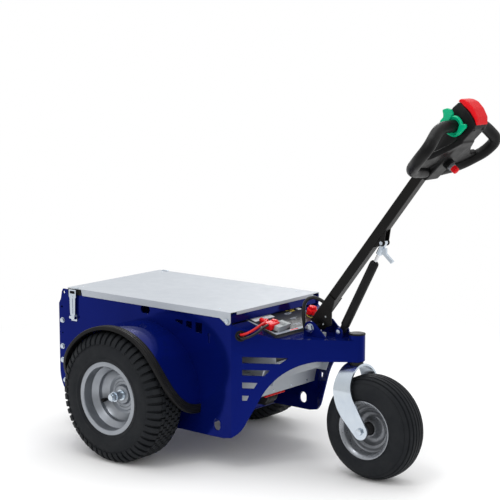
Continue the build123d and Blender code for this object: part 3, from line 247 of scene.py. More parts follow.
BLUE_PAINT = Finish("blue_gloss_paint", "blue_paint", (0.0022, 0.0088, 0.135), (0.0015, 0.0060, 0.100), 5.0, 0.5,
                    (0.08, 0.13), 0.5, grain=240.0, relief=0.00001, specular=0.08)
GREY_SHEET = Finish("light_grey_satin_paint", "grey_sheet", (0.405, 0.435, 0.475), (0.36, 0.39, 0.43), 6.0, 0.4,
                    (0.34, 0.44), grain=420.0, relief=0.00002, specular=0.3)
RUBBER = Finish("black_tyre_rubber", "tyre", (0.0105, 0.0120, 0.0145), (0.0180, 0.0195, 0.0215), 22.0, 0.5,
                (0.52, 0.68), grain=1400.0, relief=0.00005, specular=0.12)
TRIM_RUBBER = Finish("ribbed_trim_rubber", "black_rubber", (0.0050, 0.0050, 0.0056), (0.0105, 0.0105, 0.0110), 30.0,
                     0.5, (0.36, 0.48), grain=1600.0, relief=0.00003, specular=0.14)
SILVER_RIM = Finish("silver_rim_paint", "rim_silver", (0.33, 0.35, 0.38), (0.25, 0.27, 0.30), 16.0, 0.5,
                    (0.28, 0.40), 0.8, grain=1300.0, relief=0.00001, specular=0.4)
GREY_RIM = Finish("grey_rim_paint", "rim_grey", (0.22, 0.23, 0.25), (0.16, 0.17, 0.18), 18.0, 0.5, (0.26, 0.38),
                  0.6, grain=1300.0, relief=0.00001, specular=0.35)
# lighter copy of the grey rim paint for the front rim's lip and barrel: a painted highlight, since the bowl is the same
# paint
RIM_LIP_PAINTED_HIGHLIGHT = Finish("rim_lip_painted_highlight", "rim_grey", (0.30, 0.315, 0.34), (0.22, 0.23, 0.25), 18.0, 0.5, (0.24, 0.34),
                    0.65, grain=1300.0, relief=0.00001)
ZINC = Finish("bright_zinc_plate", "zinc", (0.60, 0.66, 0.72), (0.50, 0.57, 0.66), 20.0, 0.6, (0.16, 0.24), 1.0,
              grain=900.0, relief=0.000002)
POLISHED = Finish("polished_rod", "polished_steel", (0.70, 0.71, 0.73), (0.62, 0.64, 0.66), 40.0, 0.3, (0.08, 0.14),
                  1.0, grain=2400.0, relief=0.000001)
BLACK_PAINT = Finish("black_satin_paint", "black_paint", (0.0036, 0.0034, 0.0033), (0.0075, 0.0068, 0.0062), 12.0,
                     0.5, (0.24, 0.34), grain=620.0, relief=0.00002, specular=0.16)
BLACK_PLASTIC = Finish("grained_black_plastic", "black_plastic", (0.0045, 0.0046, 0.0050), (0.0090, 0.0088, 0.0086),
                       10.0, 0.4, (0.36, 0.48), grain=1700.0, relief=0.00004, specular=0.16)
DARK_STEEL = Finish("dark_steel_paint", "dark_steel", (0.014, 0.014, 0.016), (0.024, 0.023, 0.022), 14.0, 0.5,
                    (0.4, 0.55), specular=0.2)
RED_PLASTIC = Finish("red_gloss_plastic", "red_plastic", (0.64, 0.0065, 0.0110), (0.52, 0.0040, 0.0080), 12.0, 0.4,
                     (0.22, 0.32), grain=900.0, relief=0.000002, specular=0.09)
GREEN_PLASTIC = Finish("green_gloss_plastic", "green_plastic", (0.0, 0.42, 0.20), (0.0, 0.34, 0.155), 14.0, 0.4,
                       (0.18, 0.28), grain=900.0, relief=0.000005, specular=0.25)
BATTERY_CASE = Finish("battery_case_plastic", "battery_case", (0.022, 0.022, 0.024), (0.034, 0.034, 0.035), 12.0, 0.4,
                      (0.42, 0.55), specular=0.3)
GREY_PLASTIC = Finish("grey_connector_plastic", "grey_plastic", (0.30, 0.32, 0.33), (0.24, 0.26, 0.27), 24.0, 0.4,
                      (0.42, 0.55), specular=0.3)
LABEL_DARK = Finish("dark_label_film", "battery_case", (0.014, 0.015, 0.018), (0.022, 0.023, 0.026), 20.0, 0.4,
                    (0.30, 0.42), grain=600.0, relief=0.00001, specular=0.35)
LABEL_GREY = Finish("pale_label_border", "battery_case", (0.30, 0.33, 0.38), (0.24, 0.27, 0.32), 24.0, 0.4,
                    (0.38, 0.5), grain=600.0, relief=0.00001, specular=0.3)
LABEL_WHITE = Finish("blank_paper_label", "battery_case", (0.66, 0.68, 0.70), (0.58, 0.60, 0.62), 24.0, 0.4,
                     (0.5, 0.62), grain=900.0, relief=0.00001, specular=0.25)
LABEL_YELLOW = Finish("yellow_label_bar", "battery_case", (0.55, 0.42, 0.05), (0.44, 0.33, 0.04), 24.0, 0.4,
                      (0.45, 0.58), grain=900.0, relief=0.00001, specular=0.25)
RED_CABLE = Finish("red_cable_sheath", "red_plastic", (0.55, 0.010, 0.010), (0.42, 0.008, 0.008), 40.0, 0.4,
                   (0.34, 0.46), grain=1200.0, relief=0.00002, specular=0.3)
BLACK_CABLE = Finish("black_cable_sheath", "black_rubber", (0.006, 0.006, 0.0065), (0.012, 0.012, 0.0125), 40.0, 0.4,
                     (0.34, 0.46), grain=1200.0, relief=0.00002, specular=0.35)

SLOT_FINISHES: dict[str, Finish] = {
    "blue_paint": BLUE_PAINT, "grey_sheet": GREY_SHEET, "tyre": RUBBER, "rim_silver": SILVER_RIM,
    "rim_grey": GREY_RIM, "zinc": ZINC, "polished_steel": POLISHED, "black_paint": BLACK_PAINT,
    "black_plastic": BLACK_PLASTIC, "black_rubber": TRIM_RUBBER, "dark_steel": DARK_STEEL,
    "red_plastic": RED_PLASTIC, "green_plastic": GREEN_PLASTIC, "battery_case": BATTERY_CASE,
    "grey_plastic": GREY_PLASTIC,
}

# routes of the cables, in the model's frame
RED_ROUTE: tuple[Point, ...] = (
    (0.103, -0.120, 0.449), (0.108, -0.140, 0.450), (0.112, -0.162, 0.447), (0.110, -0.184, 0.439),
    (0.100, -0.203, 0.4295), (0.087, -0.212, 0.424), (0.076, -0.2085, 0.4217), (0.0655, -0.1916, 0.4217))
BLACK_ROUTE: tuple[Point, ...] = (
    (0.115, -0.120, 0.445), (0.121, -0.142, 0.445), (0.126, -0.166, 0.442), (0.123, -0.188, 0.431),
    (0.110, -0.208, 0.420), (0.094, -0.219, 0.414), (0.080, -0.215, 0.4132), (0.0665, -0.1932, 0.4132))
TILLER_ROUTE: tuple[Point, ...] = (
    (0.183, -0.030, 0.412), (0.178, -0.0315, 0.446), (0.175, -0.031, 0.481), (0.177, -0.027, 0.508),
    (0.189, -0.014, 0.521), (0.208, -0.002, 0.519), (0.2284, 0.0037, 0.5068))


@dataclass
class Plating:
    """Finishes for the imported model's own nodes, by their material slots."""

    finishes: dict[str, Finish] = field(default_factory=lambda: dict(SLOT_FINISHES))

    def dress(self) -> int:
        """Give every node its slot's finish and return how many were dressed."""
        slots = {part["node"]: part["material_slot"] for part in frame["record"]["subparts"]}
        for name, node in frame["nodes"].items():
            made = self.finishes[slots[name]].material()
            for place in node.material_slots:
                place.material = made
        return len(frame["nodes"])


# ---- shapes --------------------------------------------------------------------------
def lathe(profile: Profile, steps: int = 96, closed: bool = False) -> Shape:
    """Return a shape turned about the Y axis.

    Args:
        profile: Points given as (radius, along).
        steps: Steps round the axis.
        closed: Whether the last point joins the first.

    Returns:
        The turned shape, at the origin.
    """
    shape = bmesh.new()
    verts = [shape.verts.new((radius, along, 0.0)) for radius, along in profile]
    edges = [shape.edges.new(pair) for pair in zip(verts, verts[1:])]
    if closed:
        edges.append(shape.edges.new((verts[-1], verts[0])))
    bmesh.ops.spin(shape, geom=verts + edges, cent=(0.0, 0.0, 0.0), axis=(0.0, 1.0, 0.0), dvec=(0.0, 0.0, 0.0),
                   angle=math.tau, steps=steps, use_merge=True, use_duplicate=False)
    bmesh.ops.remove_doubles(shape, verts=shape.verts[:], dist=1e-6)
    bmesh.ops.recalc_face_normals(shape, faces=shape.faces[:])
    return shape


def whole_ring(half: Profile, steps: int) -> Shape:
    """Return the closed ring of a profile given on one side of its middle plane."""
    return lathe([*half, *((radius, -along) for radius, along in reversed(half[1:-1]))], steps, closed=True)


def slab(outline: Profile, depth: float, low: float = 0.0) -> Shape:
    """Return a plate of an outline in X and Y.

    Args:
        outline: Corners of the plate.
        depth: Its thickness, upwards.
        low: Height of its lower face.

    Returns:
        The plate, with sharp edges.
    """
    shape = bmesh.new()
    face = shape.faces.new([shape.verts.new((x, y, low)) for x, y in outline])
    made = bmesh.ops.extrude_face_region(shape, geom=[face])
    top = [item for item in made["geom"] if isinstance(item, bmesh.types.BMVert)]
    bmesh.ops.translate(shape, verts=top, vec=(0.0, 0.0, depth))
    bmesh.ops.recalc_face_normals(shape, faces=shape.faces[:])
    return shape


def box_slab(length: float, width: float, depth: float, low: float = 0.0) -> Shape:
    """Return a rectangular plate about the Z axis, of that length in X and width in Y."""
    half_l, half_w = length / 2.0, width / 2.0
    return slab([(-half_l, -half_w), (half_l, -half_w), (half_l, half_w), (-half_l, half_w)], depth, low)


def stadium(length: float, width: float, depth: float, low: float = 0.0, steps: int = 8) -> Shape:
    """Return a plate with round ends.

    Args:
        length: Overall length in X.
        width: Width in Y.
        depth: Thickness in Z.
        low: Height of its lower face.
        steps: Steps of each round end.

    Returns:
        The plate, about the Z axis.
    """
    reach, radius = (length - width) / 2.0, width / 2.0
    turns = [math.pi * step / steps - math.pi / 2.0 for step in range(steps + 1)]
    right = [(reach + radius * math.cos(turn), radius * math.sin(turn)) for turn in turns]
    return slab(right + [(-x, -y) for x, y in right], depth, low)


def peg(radius: float, depth: float, steps: int = 32, low: float = 0.0, crown: float = 0.0) -> Shape:
    """Return a pin along Z with a crowned top.

    Args:
        radius: Radius of the pin.
        depth: Height of its side.
        steps: Steps round it, 6 for a hexagon.
        low: Height of its foot.
        crown: Extra height at the middle of its top.

    Returns:
        The pin, with sharp edges.
    """
    shape = bmesh.new()
    bmesh.ops.create_circle(shape, cap_ends=True, segments=steps, radius=radius)
    bmesh.ops.translate(shape, verts=shape.verts[:], vec=(0.0, 0.0, low))
    made = bmesh.ops.extrude_face_region(shape, geom=shape.faces[:])
    top = [item for item in made["geom"] if isinstance(item, bmesh.types.BMVert)]
    bmesh.ops.translate(shape, verts=top, vec=(0.0, 0.0, depth))
    if crown > 0.0:
        lid_face = max(shape.faces, key=lambda face: face.calc_center_median().z)
        for share, rise in ((0.62, 0.62), (0.28, 0.38)):
            bmesh.ops.inset_region(shape, faces=[lid_face], thickness=radius * (1.0 - share) * 0.6,
                                   depth=crown * rise, use_even_offset=True)
    bmesh.ops.recalc_face_normals(shape, faces=shape.faces[:])
    return shape


def soften(shape: Shape, width: float, segments: int = 2, over: float = 32.0) -> Shape:
    """Round a shape's sharp edges.

    Args:
        shape: The shape, which is changed.
        width: Width of the rounding.
        segments: Steps of the rounding.
        over: Edges that turn more than this, in degrees, are sharp.

    Returns:
        The same shape.
    """
    limit = math.radians(over)
    sharp = [edge for edge in shape.edges if len(edge.link_faces) == 2 and edge.calc_face_angle() > limit]
    bmesh.ops.bevel(shape, geom=sharp, offset=width, offset_type="OFFSET", segments=segments, profile=0.5,
                    affect="EDGES", clamp_overlap=True, material=-1)
    return shape


def moved(shape: Shape, matrix: Matrix) -> Shape:
    """Return the shape after moving it by a matrix."""
    bmesh.ops.transform(shape, matrix=matrix, verts=shape.verts[:])
    return shape


def shifted(shape: Shape, x: float = 0.0, y: float = 0.0, z: float = 0.0) -> Shape:
    """Return the shape after shifting it."""
    return moved(shape, Matrix.Translation((x, y, z)))


def turned(shape: Shape, degrees: float, axis: str = "Z") -> Shape:
    """Return the shape after turning it about an axis through the origin."""
    return moved(shape, Matrix.Rotation(math.radians(degrees), 4, axis))


def along_y(shape: Shape, at: Sequence[float] = (0.0, 0.0, 0.0)) -> Shape:
    """Return a shape moved to a point, with its Z axis laid along Y."""
    return moved(shape, basis(at, (1.0, 0.0, 0.0), (0.0, 1.0, 0.0)))


def gather(shapes: Iterable[Shape]) -> Shape:
    """Return one shape that holds the given ones, which are freed."""
    whole = bmesh.new()
    for shape in shapes:
        mesh = bpy.data.meshes.new("gathered")
        shape.to_mesh(mesh)
        shape.free()
        whole.from_mesh(mesh)
        bpy.data.meshes.remove(mesh)
    return whole


def cut_off(shape: Shape, at: Sequence[float], out: Sequence[float]) -> Shape:
    """Return the shape cut by a plane, without what lies beyond it, and closed there."""
    cut = bmesh.ops.bisect_plane(shape, geom=shape.verts[:] + shape.edges[:] + shape.faces[:], dist=1e-6,
                                 plane_co=at, plane_no=out, clear_outer=True)
    rim = [part for part in cut["geom_cut"] if isinstance(part, bmesh.types.BMEdge)]
    bmesh.ops.holes_fill(shape, edges=rim, sides=0)
    return shape


def repeated(shape: Shape, count: int) -> Shape:
    """Return the shape repeated evenly round the Y axis."""
    bmesh.ops.spin(shape, geom=shape.verts[:] + shape.edges[:] + shape.faces[:], cent=(0.0, 0.0, 0.0),
                   axis=(0.0, 1.0, 0.0), dvec=(0.0, 0.0, 0.0), angle=math.tau * (count - 1) / count,
                   steps=count - 1, use_merge=False, use_duplicate=True)
    return shape


def other_side(shape: Shape) -> Shape:
    """Return the shape mirrored across the centre plane, with its faces still outwards."""
    bmesh.ops.scale(shape, vec=(1.0, -1.0, 1.0), verts=shape.verts[:])
    bmesh.ops.reverse_faces(shape, faces=shape.faces[:])
    return shape


def sided(shape: Shape, side: Side) -> Shape:
    """Return a left-hand shape, mirrored if the side is the right."""
    return shape if side is Side.LEFT else other_side(shape)


def basis(origin: Sequence[float], run: Sequence[float], out: Sequence[float]) -> Matrix:
    """Return the matrix that puts X along a run and Z out of a face.

    Args:
        origin: Where the local origin goes.
        run: Direction of local X.
        out: Direction of local Z.

    Returns:
        The matrix, without stretch.
    """
    x_dir = Vector(run).normalized()
    z_dir = Vector(out).normalized()
    y_dir = z_dir.cross(x_dir)
    turn = Matrix((x_dir, y_dir, z_dir)).transposed().to_4x4()
    return Matrix.Translation(Vector(origin)) @ turn


def facing(at: Sequence[float], out: Sequence[float]) -> Matrix:
    """Return the matrix that puts Z out of a face, at a point on it."""
    turn = Vector((0.0, 0.0, 1.0)).rotation_difference(Vector(out)).to_matrix().to_4x4()
    return Matrix.Translation(Vector(at)) @ turn


def centre(node: str) -> Vector:
    """Return the middle of a node's box."""
    low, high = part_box(node)
    return (Vector(low) + Vector(high)) / 2.0


def carrier(node: str) -> str:
    """Return the name of the body that a node rides on."""
    return body_of(frame["nodes"][node])[0]


def new_object(name: str, shape: Shape) -> bpy.types.Object:
    """Return a linked object made from a shape, which is freed.

    Args:
        name: Name of the object and its mesh.
        shape: The shape, already in place.

    Returns:
        The object, at the origin.
    """
    mesh = bpy.data.meshes.new(name)
    shape.to_mesh(mesh)
    shape.free()
    made = bpy.data.objects.new(name, mesh)
    bpy.context.scene.collection.objects.link(made)
    return made


def settle(name: str, shape: Shape, finish: Finish, body: str, nodes: Sequence[str] = (),
           smooth: float = 38.0) -> bpy.types.Object:
    """Make a finished piece and set it on its body.

    Args:
        name: Name of the piece.
        shape: Its shape, in place, which is freed.
        finish: Its finish.
        body: Body that it rides on.
        nodes: Nodes that it stands for.
        smooth: Edges that turn less than this, in degrees, are shaded smooth.

    Returns:
        The piece.
    """
    piece = new_object(name, shape)
    piece.data.materials.append(finish.material())
    piece.data.shade_smooth()
    piece.data.set_sharp_from_angle(angle=math.radians(smooth))
    even = piece.modifiers.new("even_normals", "WEIGHTED_NORMAL")
    even.keep_sharp = True
    even.weight = 60
    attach(piece, body)
    if nodes:
        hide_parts(*nodes)
    log.info("%s: %d faces", name, len(piece.data.polygons))
    return piece


def node_shape(node: str, flat: float = 0.6) -> Shape:
    """Return a merged copy of a node's mesh with its flat faces made whole.

    Args:
        node: The node to copy.
        flat: Edges that turn less than this, in degrees, are dissolved.

    Returns:
        The copy.
    """
    shape = bmesh.new()
    shape.from_mesh(frame["nodes"][node].data)
    bmesh.ops.remove_doubles(shape, verts=shape.verts[:], dist=2e-6)
    bmesh.ops.dissolve_limit(shape, angle_limit=math.radians(flat), verts=shape.verts[:], edges=shape.edges[:])
    return shape


def dressed(name: str, node: str, finish: Finish, edge: float, segments: int = 2,
            smooth: float = 30.0) -> bpy.types.Object:
    """Make a piece from a node's own shape with its edges rounded.

    Args:
        name: Name of the piece.
        node: Node that it stands for.
        finish: Its finish.
        edge: Width of the rounding.
        segments: Steps of the rounding.
        smooth: Edges that turn less than this, in degrees, are shaded smooth.

    Returns:
        The piece.
    """
    return settle(name, soften(node_shape(node), edge, segments), finish, carrier(node), [node], smooth)


def moulded(name: str, node: str, finish: Finish, voxel: float, rounds: int) -> bpy.types.Object:
    """Return a piece like a node with all its corners rounded as in a moulding.

    Args:
        name: Name of the piece.
        node: Node that it stands for.
        finish: Its finish.
        voxel: Size of the mesh's cells.
        rounds: Rounds of smoothing.

    Returns:
        The piece.
    """
    rough = new_object(f"{name}_rough", node_shape(node))
    cells = rough.modifiers.new("cells", "REMESH")
    cells.mode = "VOXEL"
    cells.voxel_size = voxel
    graph = bpy.context.evaluated_depsgraph_get()
    graph.update()
    mesh = bpy.data.meshes.new_from_object(rough.evaluated_get(graph))
    shape = bmesh.new()
    shape.from_mesh(mesh)
    for _ in range(rounds):
        bmesh.ops.smooth_vert(shape, verts=shape.verts[:], factor=0.5, use_axis_x=True, use_axis_y=True,
                              use_axis_z=True)
    bpy.data.objects.remove(rough)
    bpy.data.meshes.remove(mesh)
    return settle(name, shape, finish, carrier(node), [node], smooth=75.0)


@dataclass(frozen=True)
class Bolt:
    """Hexagon head on a washer.

    Attributes:
        radius: Corner radius of the head.
        height: Height of the head.
        washer: Radius of the washer, or 0 for none.
    """

    radius: float = 0.0065
    height: float = 0.0042
    washer: float = 0.0

    def shape(self, at: Sequence[float], out: Sequence[float], turn: float = 12.0) -> Shape:
        """Return the bolt on a face.

        Args:
            at: Point on the face.
            out: Direction out of the face.
            turn: Degrees that the head is turned by.

        Returns:
            The bolt's shape, in place.
        """
        foot = 0.0012 if self.washer else -0.0003
        parts = [turned(soften(peg(self.radius, self.height, 6, foot, self.height * 0.14), 0.0005), turn)]
        if self.washer:
            parts.append(soften(peg(self.washer, 0.0015, 28, -0.0003), 0.0003))
        return moved(gather(parts), facing(at, out))


@dataclass(frozen=True)
class PanScrew:
    """Round-headed screw or rivet with a crowned head.

    Attributes:
        radius: Radius of the head.
        height: Height of the head's side.
    """

    radius: float = 0.004
    height: float = 0.0012

    def shape(self, at: Sequence[float], out: Sequence[float]) -> Shape:
        """Return the screw on a face, given a point on it and the direction out of it."""
        head = soften(peg(self.radius, self.height, 20, -0.0003, self.height * 0.9), self.height * 0.4)
        return moved(head, facing(at, out))


# ---- wheels --------------------------------------------------------------------------
@dataclass
class RearWheel:
    """Driven wheel: turf tyre on a silver rim, its hub hardware and its valve.

    Profiles are (radius, along), with the outer face towards +Y.
    """

    side: Side
    section: Profile = (
        (0.1958, 0.000), (0.1955, 0.026), (0.1935, 0.040), (0.1880, 0.052), (0.1790, 0.0625), (0.1680, 0.0690),
        (0.1550, 0.0715), (0.1425, 0.0719), (0.1310, 0.0712), (0.1278, 0.0708), (0.1262, 0.0719), (0.1222, 0.0717),
        (0.1206, 0.0698), (0.1130, 0.0664), (0.1068, 0.0628), (0.1030, 0.0600), (0.1020, 0.0560), (0.1020, 0.0500),
        (0.1400, 0.0610), (0.1700, 0.0560), (0.1850, 0.0300), (0.1870, 0.000))
    lug: Profile = (
        (0.2026, 0.0362), (0.2024, 0.0440), (0.1985, 0.0520), (0.1935, 0.0575), (0.1870, 0.0640), (0.1800, 0.0688),
        (0.1715, 0.0716), (0.1680, 0.0718), (0.1680, 0.0640), (0.1850, 0.0362))
    lug_width: float = 0.0158
    lugs: int = 50
    block: tuple[float, float, float] = (0.0182, 0.0126, 0.0088)
    rows: tuple[float, ...] = (-0.0288, -0.0144, 0.0, 0.0144, 0.0288)
    blocks: int = 54
    block_foot: float = 0.1940
    rim: Profile = (
        (0.1144, -0.0672), (0.1136, -0.0678), (0.1030, -0.0678), (0.0990, -0.0668), (0.0984, -0.0640),
        (0.0984, -0.0338), (0.0810, -0.0208), (0.0810, 0.0010), (0.0610, -0.0115), (0.0300, -0.0118),
        (0.0280, -0.0450), (0.0130, -0.0450), (0.0130, 0.0035), (0.0270, 0.0035), (0.0288, 0.0015), (0.0300, -0.0050),
        (0.0320, -0.0072), (0.0400, -0.0076), (0.0415, -0.0052), (0.0500, -0.0052), (0.0516, -0.0076),
        (0.0600, -0.0076), (0.0700, -0.0020), (0.0778, 0.0046), (0.0802, 0.0080), (0.0806, 0.0190), (0.0832, 0.0215),
        (0.0975, 0.0330), (0.0984, 0.0350), (0.0984, 0.0630), (0.0992, 0.0662), (0.1018, 0.0679), (0.1120, 0.0679),
        (0.1144, 0.0664), (0.1145, 0.0640), (0.1132, 0.0632), (0.1040, 0.0632), (0.1012, 0.0610), (0.1012, 0.0325),
        (0.0842, 0.0195), (0.0842, -0.0195), (0.1012, -0.0325), (0.1012, -0.0610), (0.1040, -0.0640),
        (0.1144, -0.0650))
    valve_at: tuple[float, float] = (0.0590, 159.0)
    steps: int = 120
    # collar, spacer, washer and nut on the shaft: (radius, height, sides, foot), rounding
    hub: tuple[tuple[tuple[float, float, int, float], float], ...] = (
        ((0.0175, 0.0045, 40, 0.0025), 0.0012), ((0.0128, 0.0275, 40, 0.0060), 0.0008),
        ((0.0160, 0.0028, 40, 0.0332), 0.0007), ((0.0142, 0.0112, 6, 0.0358), 0.0012))
    shaft_radius: float = 0.0096
    shaft_end: float = 0.0530
    thread: tuple[float, float, float, int] = (0.0100, 0.0475, 0.0018, 3)

    def set_out(self, shape: Shape) -> Shape:
        """Return a wheel shape placed on its axle, outer face outwards."""
        return shifted(sided(shape, self.side), *centre(f"rear_tyre_{self.side.word}"))

    def carcass(self) -> Shape:
        """Return the tyre without its tread."""
        return whole_ring(self.section, self.steps)

    def tread(self) -> Shape:
        """Return the shoulder lugs and the offset rows of blocks."""
        pieces = []
        for side, turn in zip(Side, (0.0, 0.5)):
            bar = sided(soften(slab(self.lug, self.lug_width, -self.lug_width / 2.0), 0.0014, 2), side)
            pieces.append(turned(repeated(bar, self.lugs), 360.0 / self.lugs * turn, "Y"))
        length, width, height = self.block
        for number, row in enumerate(self.rows):
            block = soften(box_slab(length, width, height), 0.0011, 1)
            block = moved(block, basis((self.block_foot, row, 0.0), (0.0, 0.0, -1.0), (1.0, 0.0, 0.0)))
            pieces.append(turned(repeated(block, self.blocks), 360.0 / self.blocks * 0.5 * (number % 2), "Y"))
        return gather(pieces)

    def hardware(self) -> Shape:
        """Return the axle shaft with its spacer, washer, nut and threaded end."""
        low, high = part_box(f"rear_axle_{self.side.word}")
        inner = min(abs(low[1]), abs(high[1])) - abs(centre(f"rear_tyre_{self.side.word}").y)
        pieces = [soften(peg(*sizes), rounding) for sizes, rounding in self.hub]
        shaft = soften(peg(self.shaft_radius, self.shaft_end - inner, 32, inner), 0.0014)
        radius, start, pitch, count = self.thread
        rings = [soften(peg(radius, 0.0007, 32, start + pitch * step), 0.0003) for step in range(count)]
        return along_y(gather([*pieces, shaft, *rings]))

    def valve(self) -> Shape:
        """Return the rubber valve with its cap, leaning out of the rim's well."""
        radius, turn = self.valve_at
        stem = soften(peg(0.0050, 0.020, 20), 0.0012)
        cap = soften(peg(0.0062, 0.013, 12, 0.019, 0.001), 0.0012)
        whole = moved(gather([stem, cap]), basis((radius, -0.004, 0.0), (0.0, 0.0, 1.0), (0.10, 0.995, 0.0)))
        return turned(whole, turn, "Y")

    def build(self) -> None:
        """Make and dress the wheel."""
        word = self.side.word
        body = carrier(f"rear_tyre_{word}")
        settle(f"turf_tyre_{word}", self.set_out(self.carcass()), RUBBER, body, [f"rear_tyre_{word}"], smooth=60.0)
        settle(f"turf_tread_{word}", self.set_out(self.tread()), RUBBER, body)
        rim = soften(lathe(self.rim, self.steps, closed=True), 0.0007, 1, 24.0)
        settle(f"silver_wheel_{word}", self.set_out(rim), SILVER_RIM, body, [f"rear_rim_{word}"])
        axle_body = carrier(f"rear_axle_{word}")
        settle(f"hub_nut_{word}", self.set_out(self.hardware()), ZINC, axle_body, [f"rear_axle_{word}"])
        settle(f"tyre_valve_{word}", self.set_out(self.valve()), TRIM_RUBBER, body)


@dataclass
class FrontWheel:
    """Swivelling front wheel with a ribbed tyre and a stepped rim, its profiles as (radius, along)."""

    section: Profile = (
        (0.1526, 0.0000), (0.1526, 0.0014), (0.1568, 0.0021), (0.1567, 0.0102), (0.1524, 0.0109), (0.1523, 0.0135),
        (0.1562, 0.0142), (0.1548, 0.0222), (0.1501, 0.0230), (0.1492, 0.0255), (0.1530, 0.0266), (0.1494, 0.0340),
        (0.1446, 0.0346), (0.1432, 0.0370), (0.1462, 0.0386), (0.1400, 0.0466), (0.1368, 0.0468), (0.1356, 0.0484),
        (0.1368, 0.0502), (0.1290, 0.0560), (0.1200, 0.0598), (0.1090, 0.0618), (0.1010, 0.0613), (0.0984, 0.0606),
        (0.0970, 0.0612), (0.0938, 0.0607), (0.0924, 0.0590), (0.0860, 0.0560), (0.0800, 0.0518), (0.0772, 0.0490),
        (0.0765, 0.0460), (0.0765, 0.0400), (0.1090, 0.0535), (0.1330, 0.0320), (0.1400, 0.0000))
    rim: Profile = (
        (0.0738, 0.0000), (0.0738, 0.0300), (0.0744, 0.0320), (0.0744, 0.0400), (0.0750, 0.0415), (0.0750, 0.0470),
        (0.0762, 0.0504), (0.0806, 0.0544), (0.0834, 0.0563), (0.0856, 0.0575), (0.0875, 0.0570), (0.0882, 0.0552),
        (0.0868, 0.0524), (0.0790, 0.0500), (0.0762, 0.0480), (0.0758, 0.0280), (0.0622, 0.0170), (0.0622, 0.0000))
    bowl: Profile = (
        (0.0746, 0.0318), (0.0728, 0.0300), (0.0716, 0.0262), (0.0670, 0.0240), (0.0640, 0.0190), (0.0610, 0.0168),
        (0.0580, 0.0166), (0.0560, 0.0174), (0.0540, 0.0170), (0.0520, 0.0140), (0.0480, 0.0070), (0.0430, 0.0038),
        (0.0360, 0.0034), (0.0310, 0.0060), (0.0275, 0.0115), (0.0258, 0.0180), (0.0252, 0.0280), (0.0242, 0.0298),
        (0.0226, 0.0302), (0.0208, 0.0298), (0.0200, 0.0280), (0.0198, 0.0100))
    hub: Profile = (
        (0.0100, 0.0495), (0.0166, 0.0500), (0.0182, 0.0490), (0.0187, 0.0470), (0.0187, 0.0250), (0.0197, 0.0235),
        (0.0205, 0.0090))
    steps: int = 112

    def set_out(self, half: Profile) -> Shape:
        """Return a half profile turned on both sides of the wheel's middle, in place."""
        whole = gather([lathe(half, self.steps), other_side(lathe(half, self.steps))])
        bmesh.ops.remove_doubles(whole, verts=whole.verts[:], dist=1e-6)
        return shifted(whole, *centre("front_tyre"))

    def tyre(self) -> Shape:
        """Return the ribbed tyre, closed all round."""
        return shifted(whole_ring(self.section, self.steps), *centre("front_tyre"))

    def build(self) -> None:
        """Make and dress the wheel."""
        body = carrier("front_tyre")
        settle("ribbed_tyre", self.tyre(), RUBBER, body, ["front_tyre"], smooth=50.0)
        # the rim's lip and barrel take the lighter copy of the grey rim paint, a painted highlight
        settle("caster_wheel", self.set_out(self.rim), RIM_LIP_PAINTED_HIGHLIGHT, body, ["front_rim"], smooth=50.0)
        settle("caster_wheel_bowl", self.set_out(self.bowl), GREY_RIM, body, smooth=40.0)
        settle("caster_hub", self.set_out(self.hub), DARK_STEEL, body, smooth=40.0)


@dataclass
class Caster:
    """Bent strap fork with its axle bolt and its swivel collar."""

    nut: Bolt = Bolt(0.0108, 0.0080)
    shaft_radius: float = 0.0099

    def build(self) -> None:
        """Make and dress the fork and its hardware."""
        body = carrier("fork")
        dressed("strap_fork", "fork", ZINC, 0.0012)
        low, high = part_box("fork")
        axle = centre("front_axle")
        ends = [self.nut.shape((axle.x, y, axle.z), (0.0, sign, 0.0), 20.0)
                for y, sign in ((low[1], -1.0), (high[1], 1.0))]
        shaft = soften(peg(self.shaft_radius, high[1] - low[1], 32, low[1]), 0.0005)
        shaft = along_y(shaft, (axle.x, 0.0, axle.z))
        settle("axle_bolt", gather([*ends, shaft]), ZINC, body, ["front_axle"])
        dressed("swivel_collar", "swivel_stem", DARK_STEEL, 0.0008, smooth=38.0)


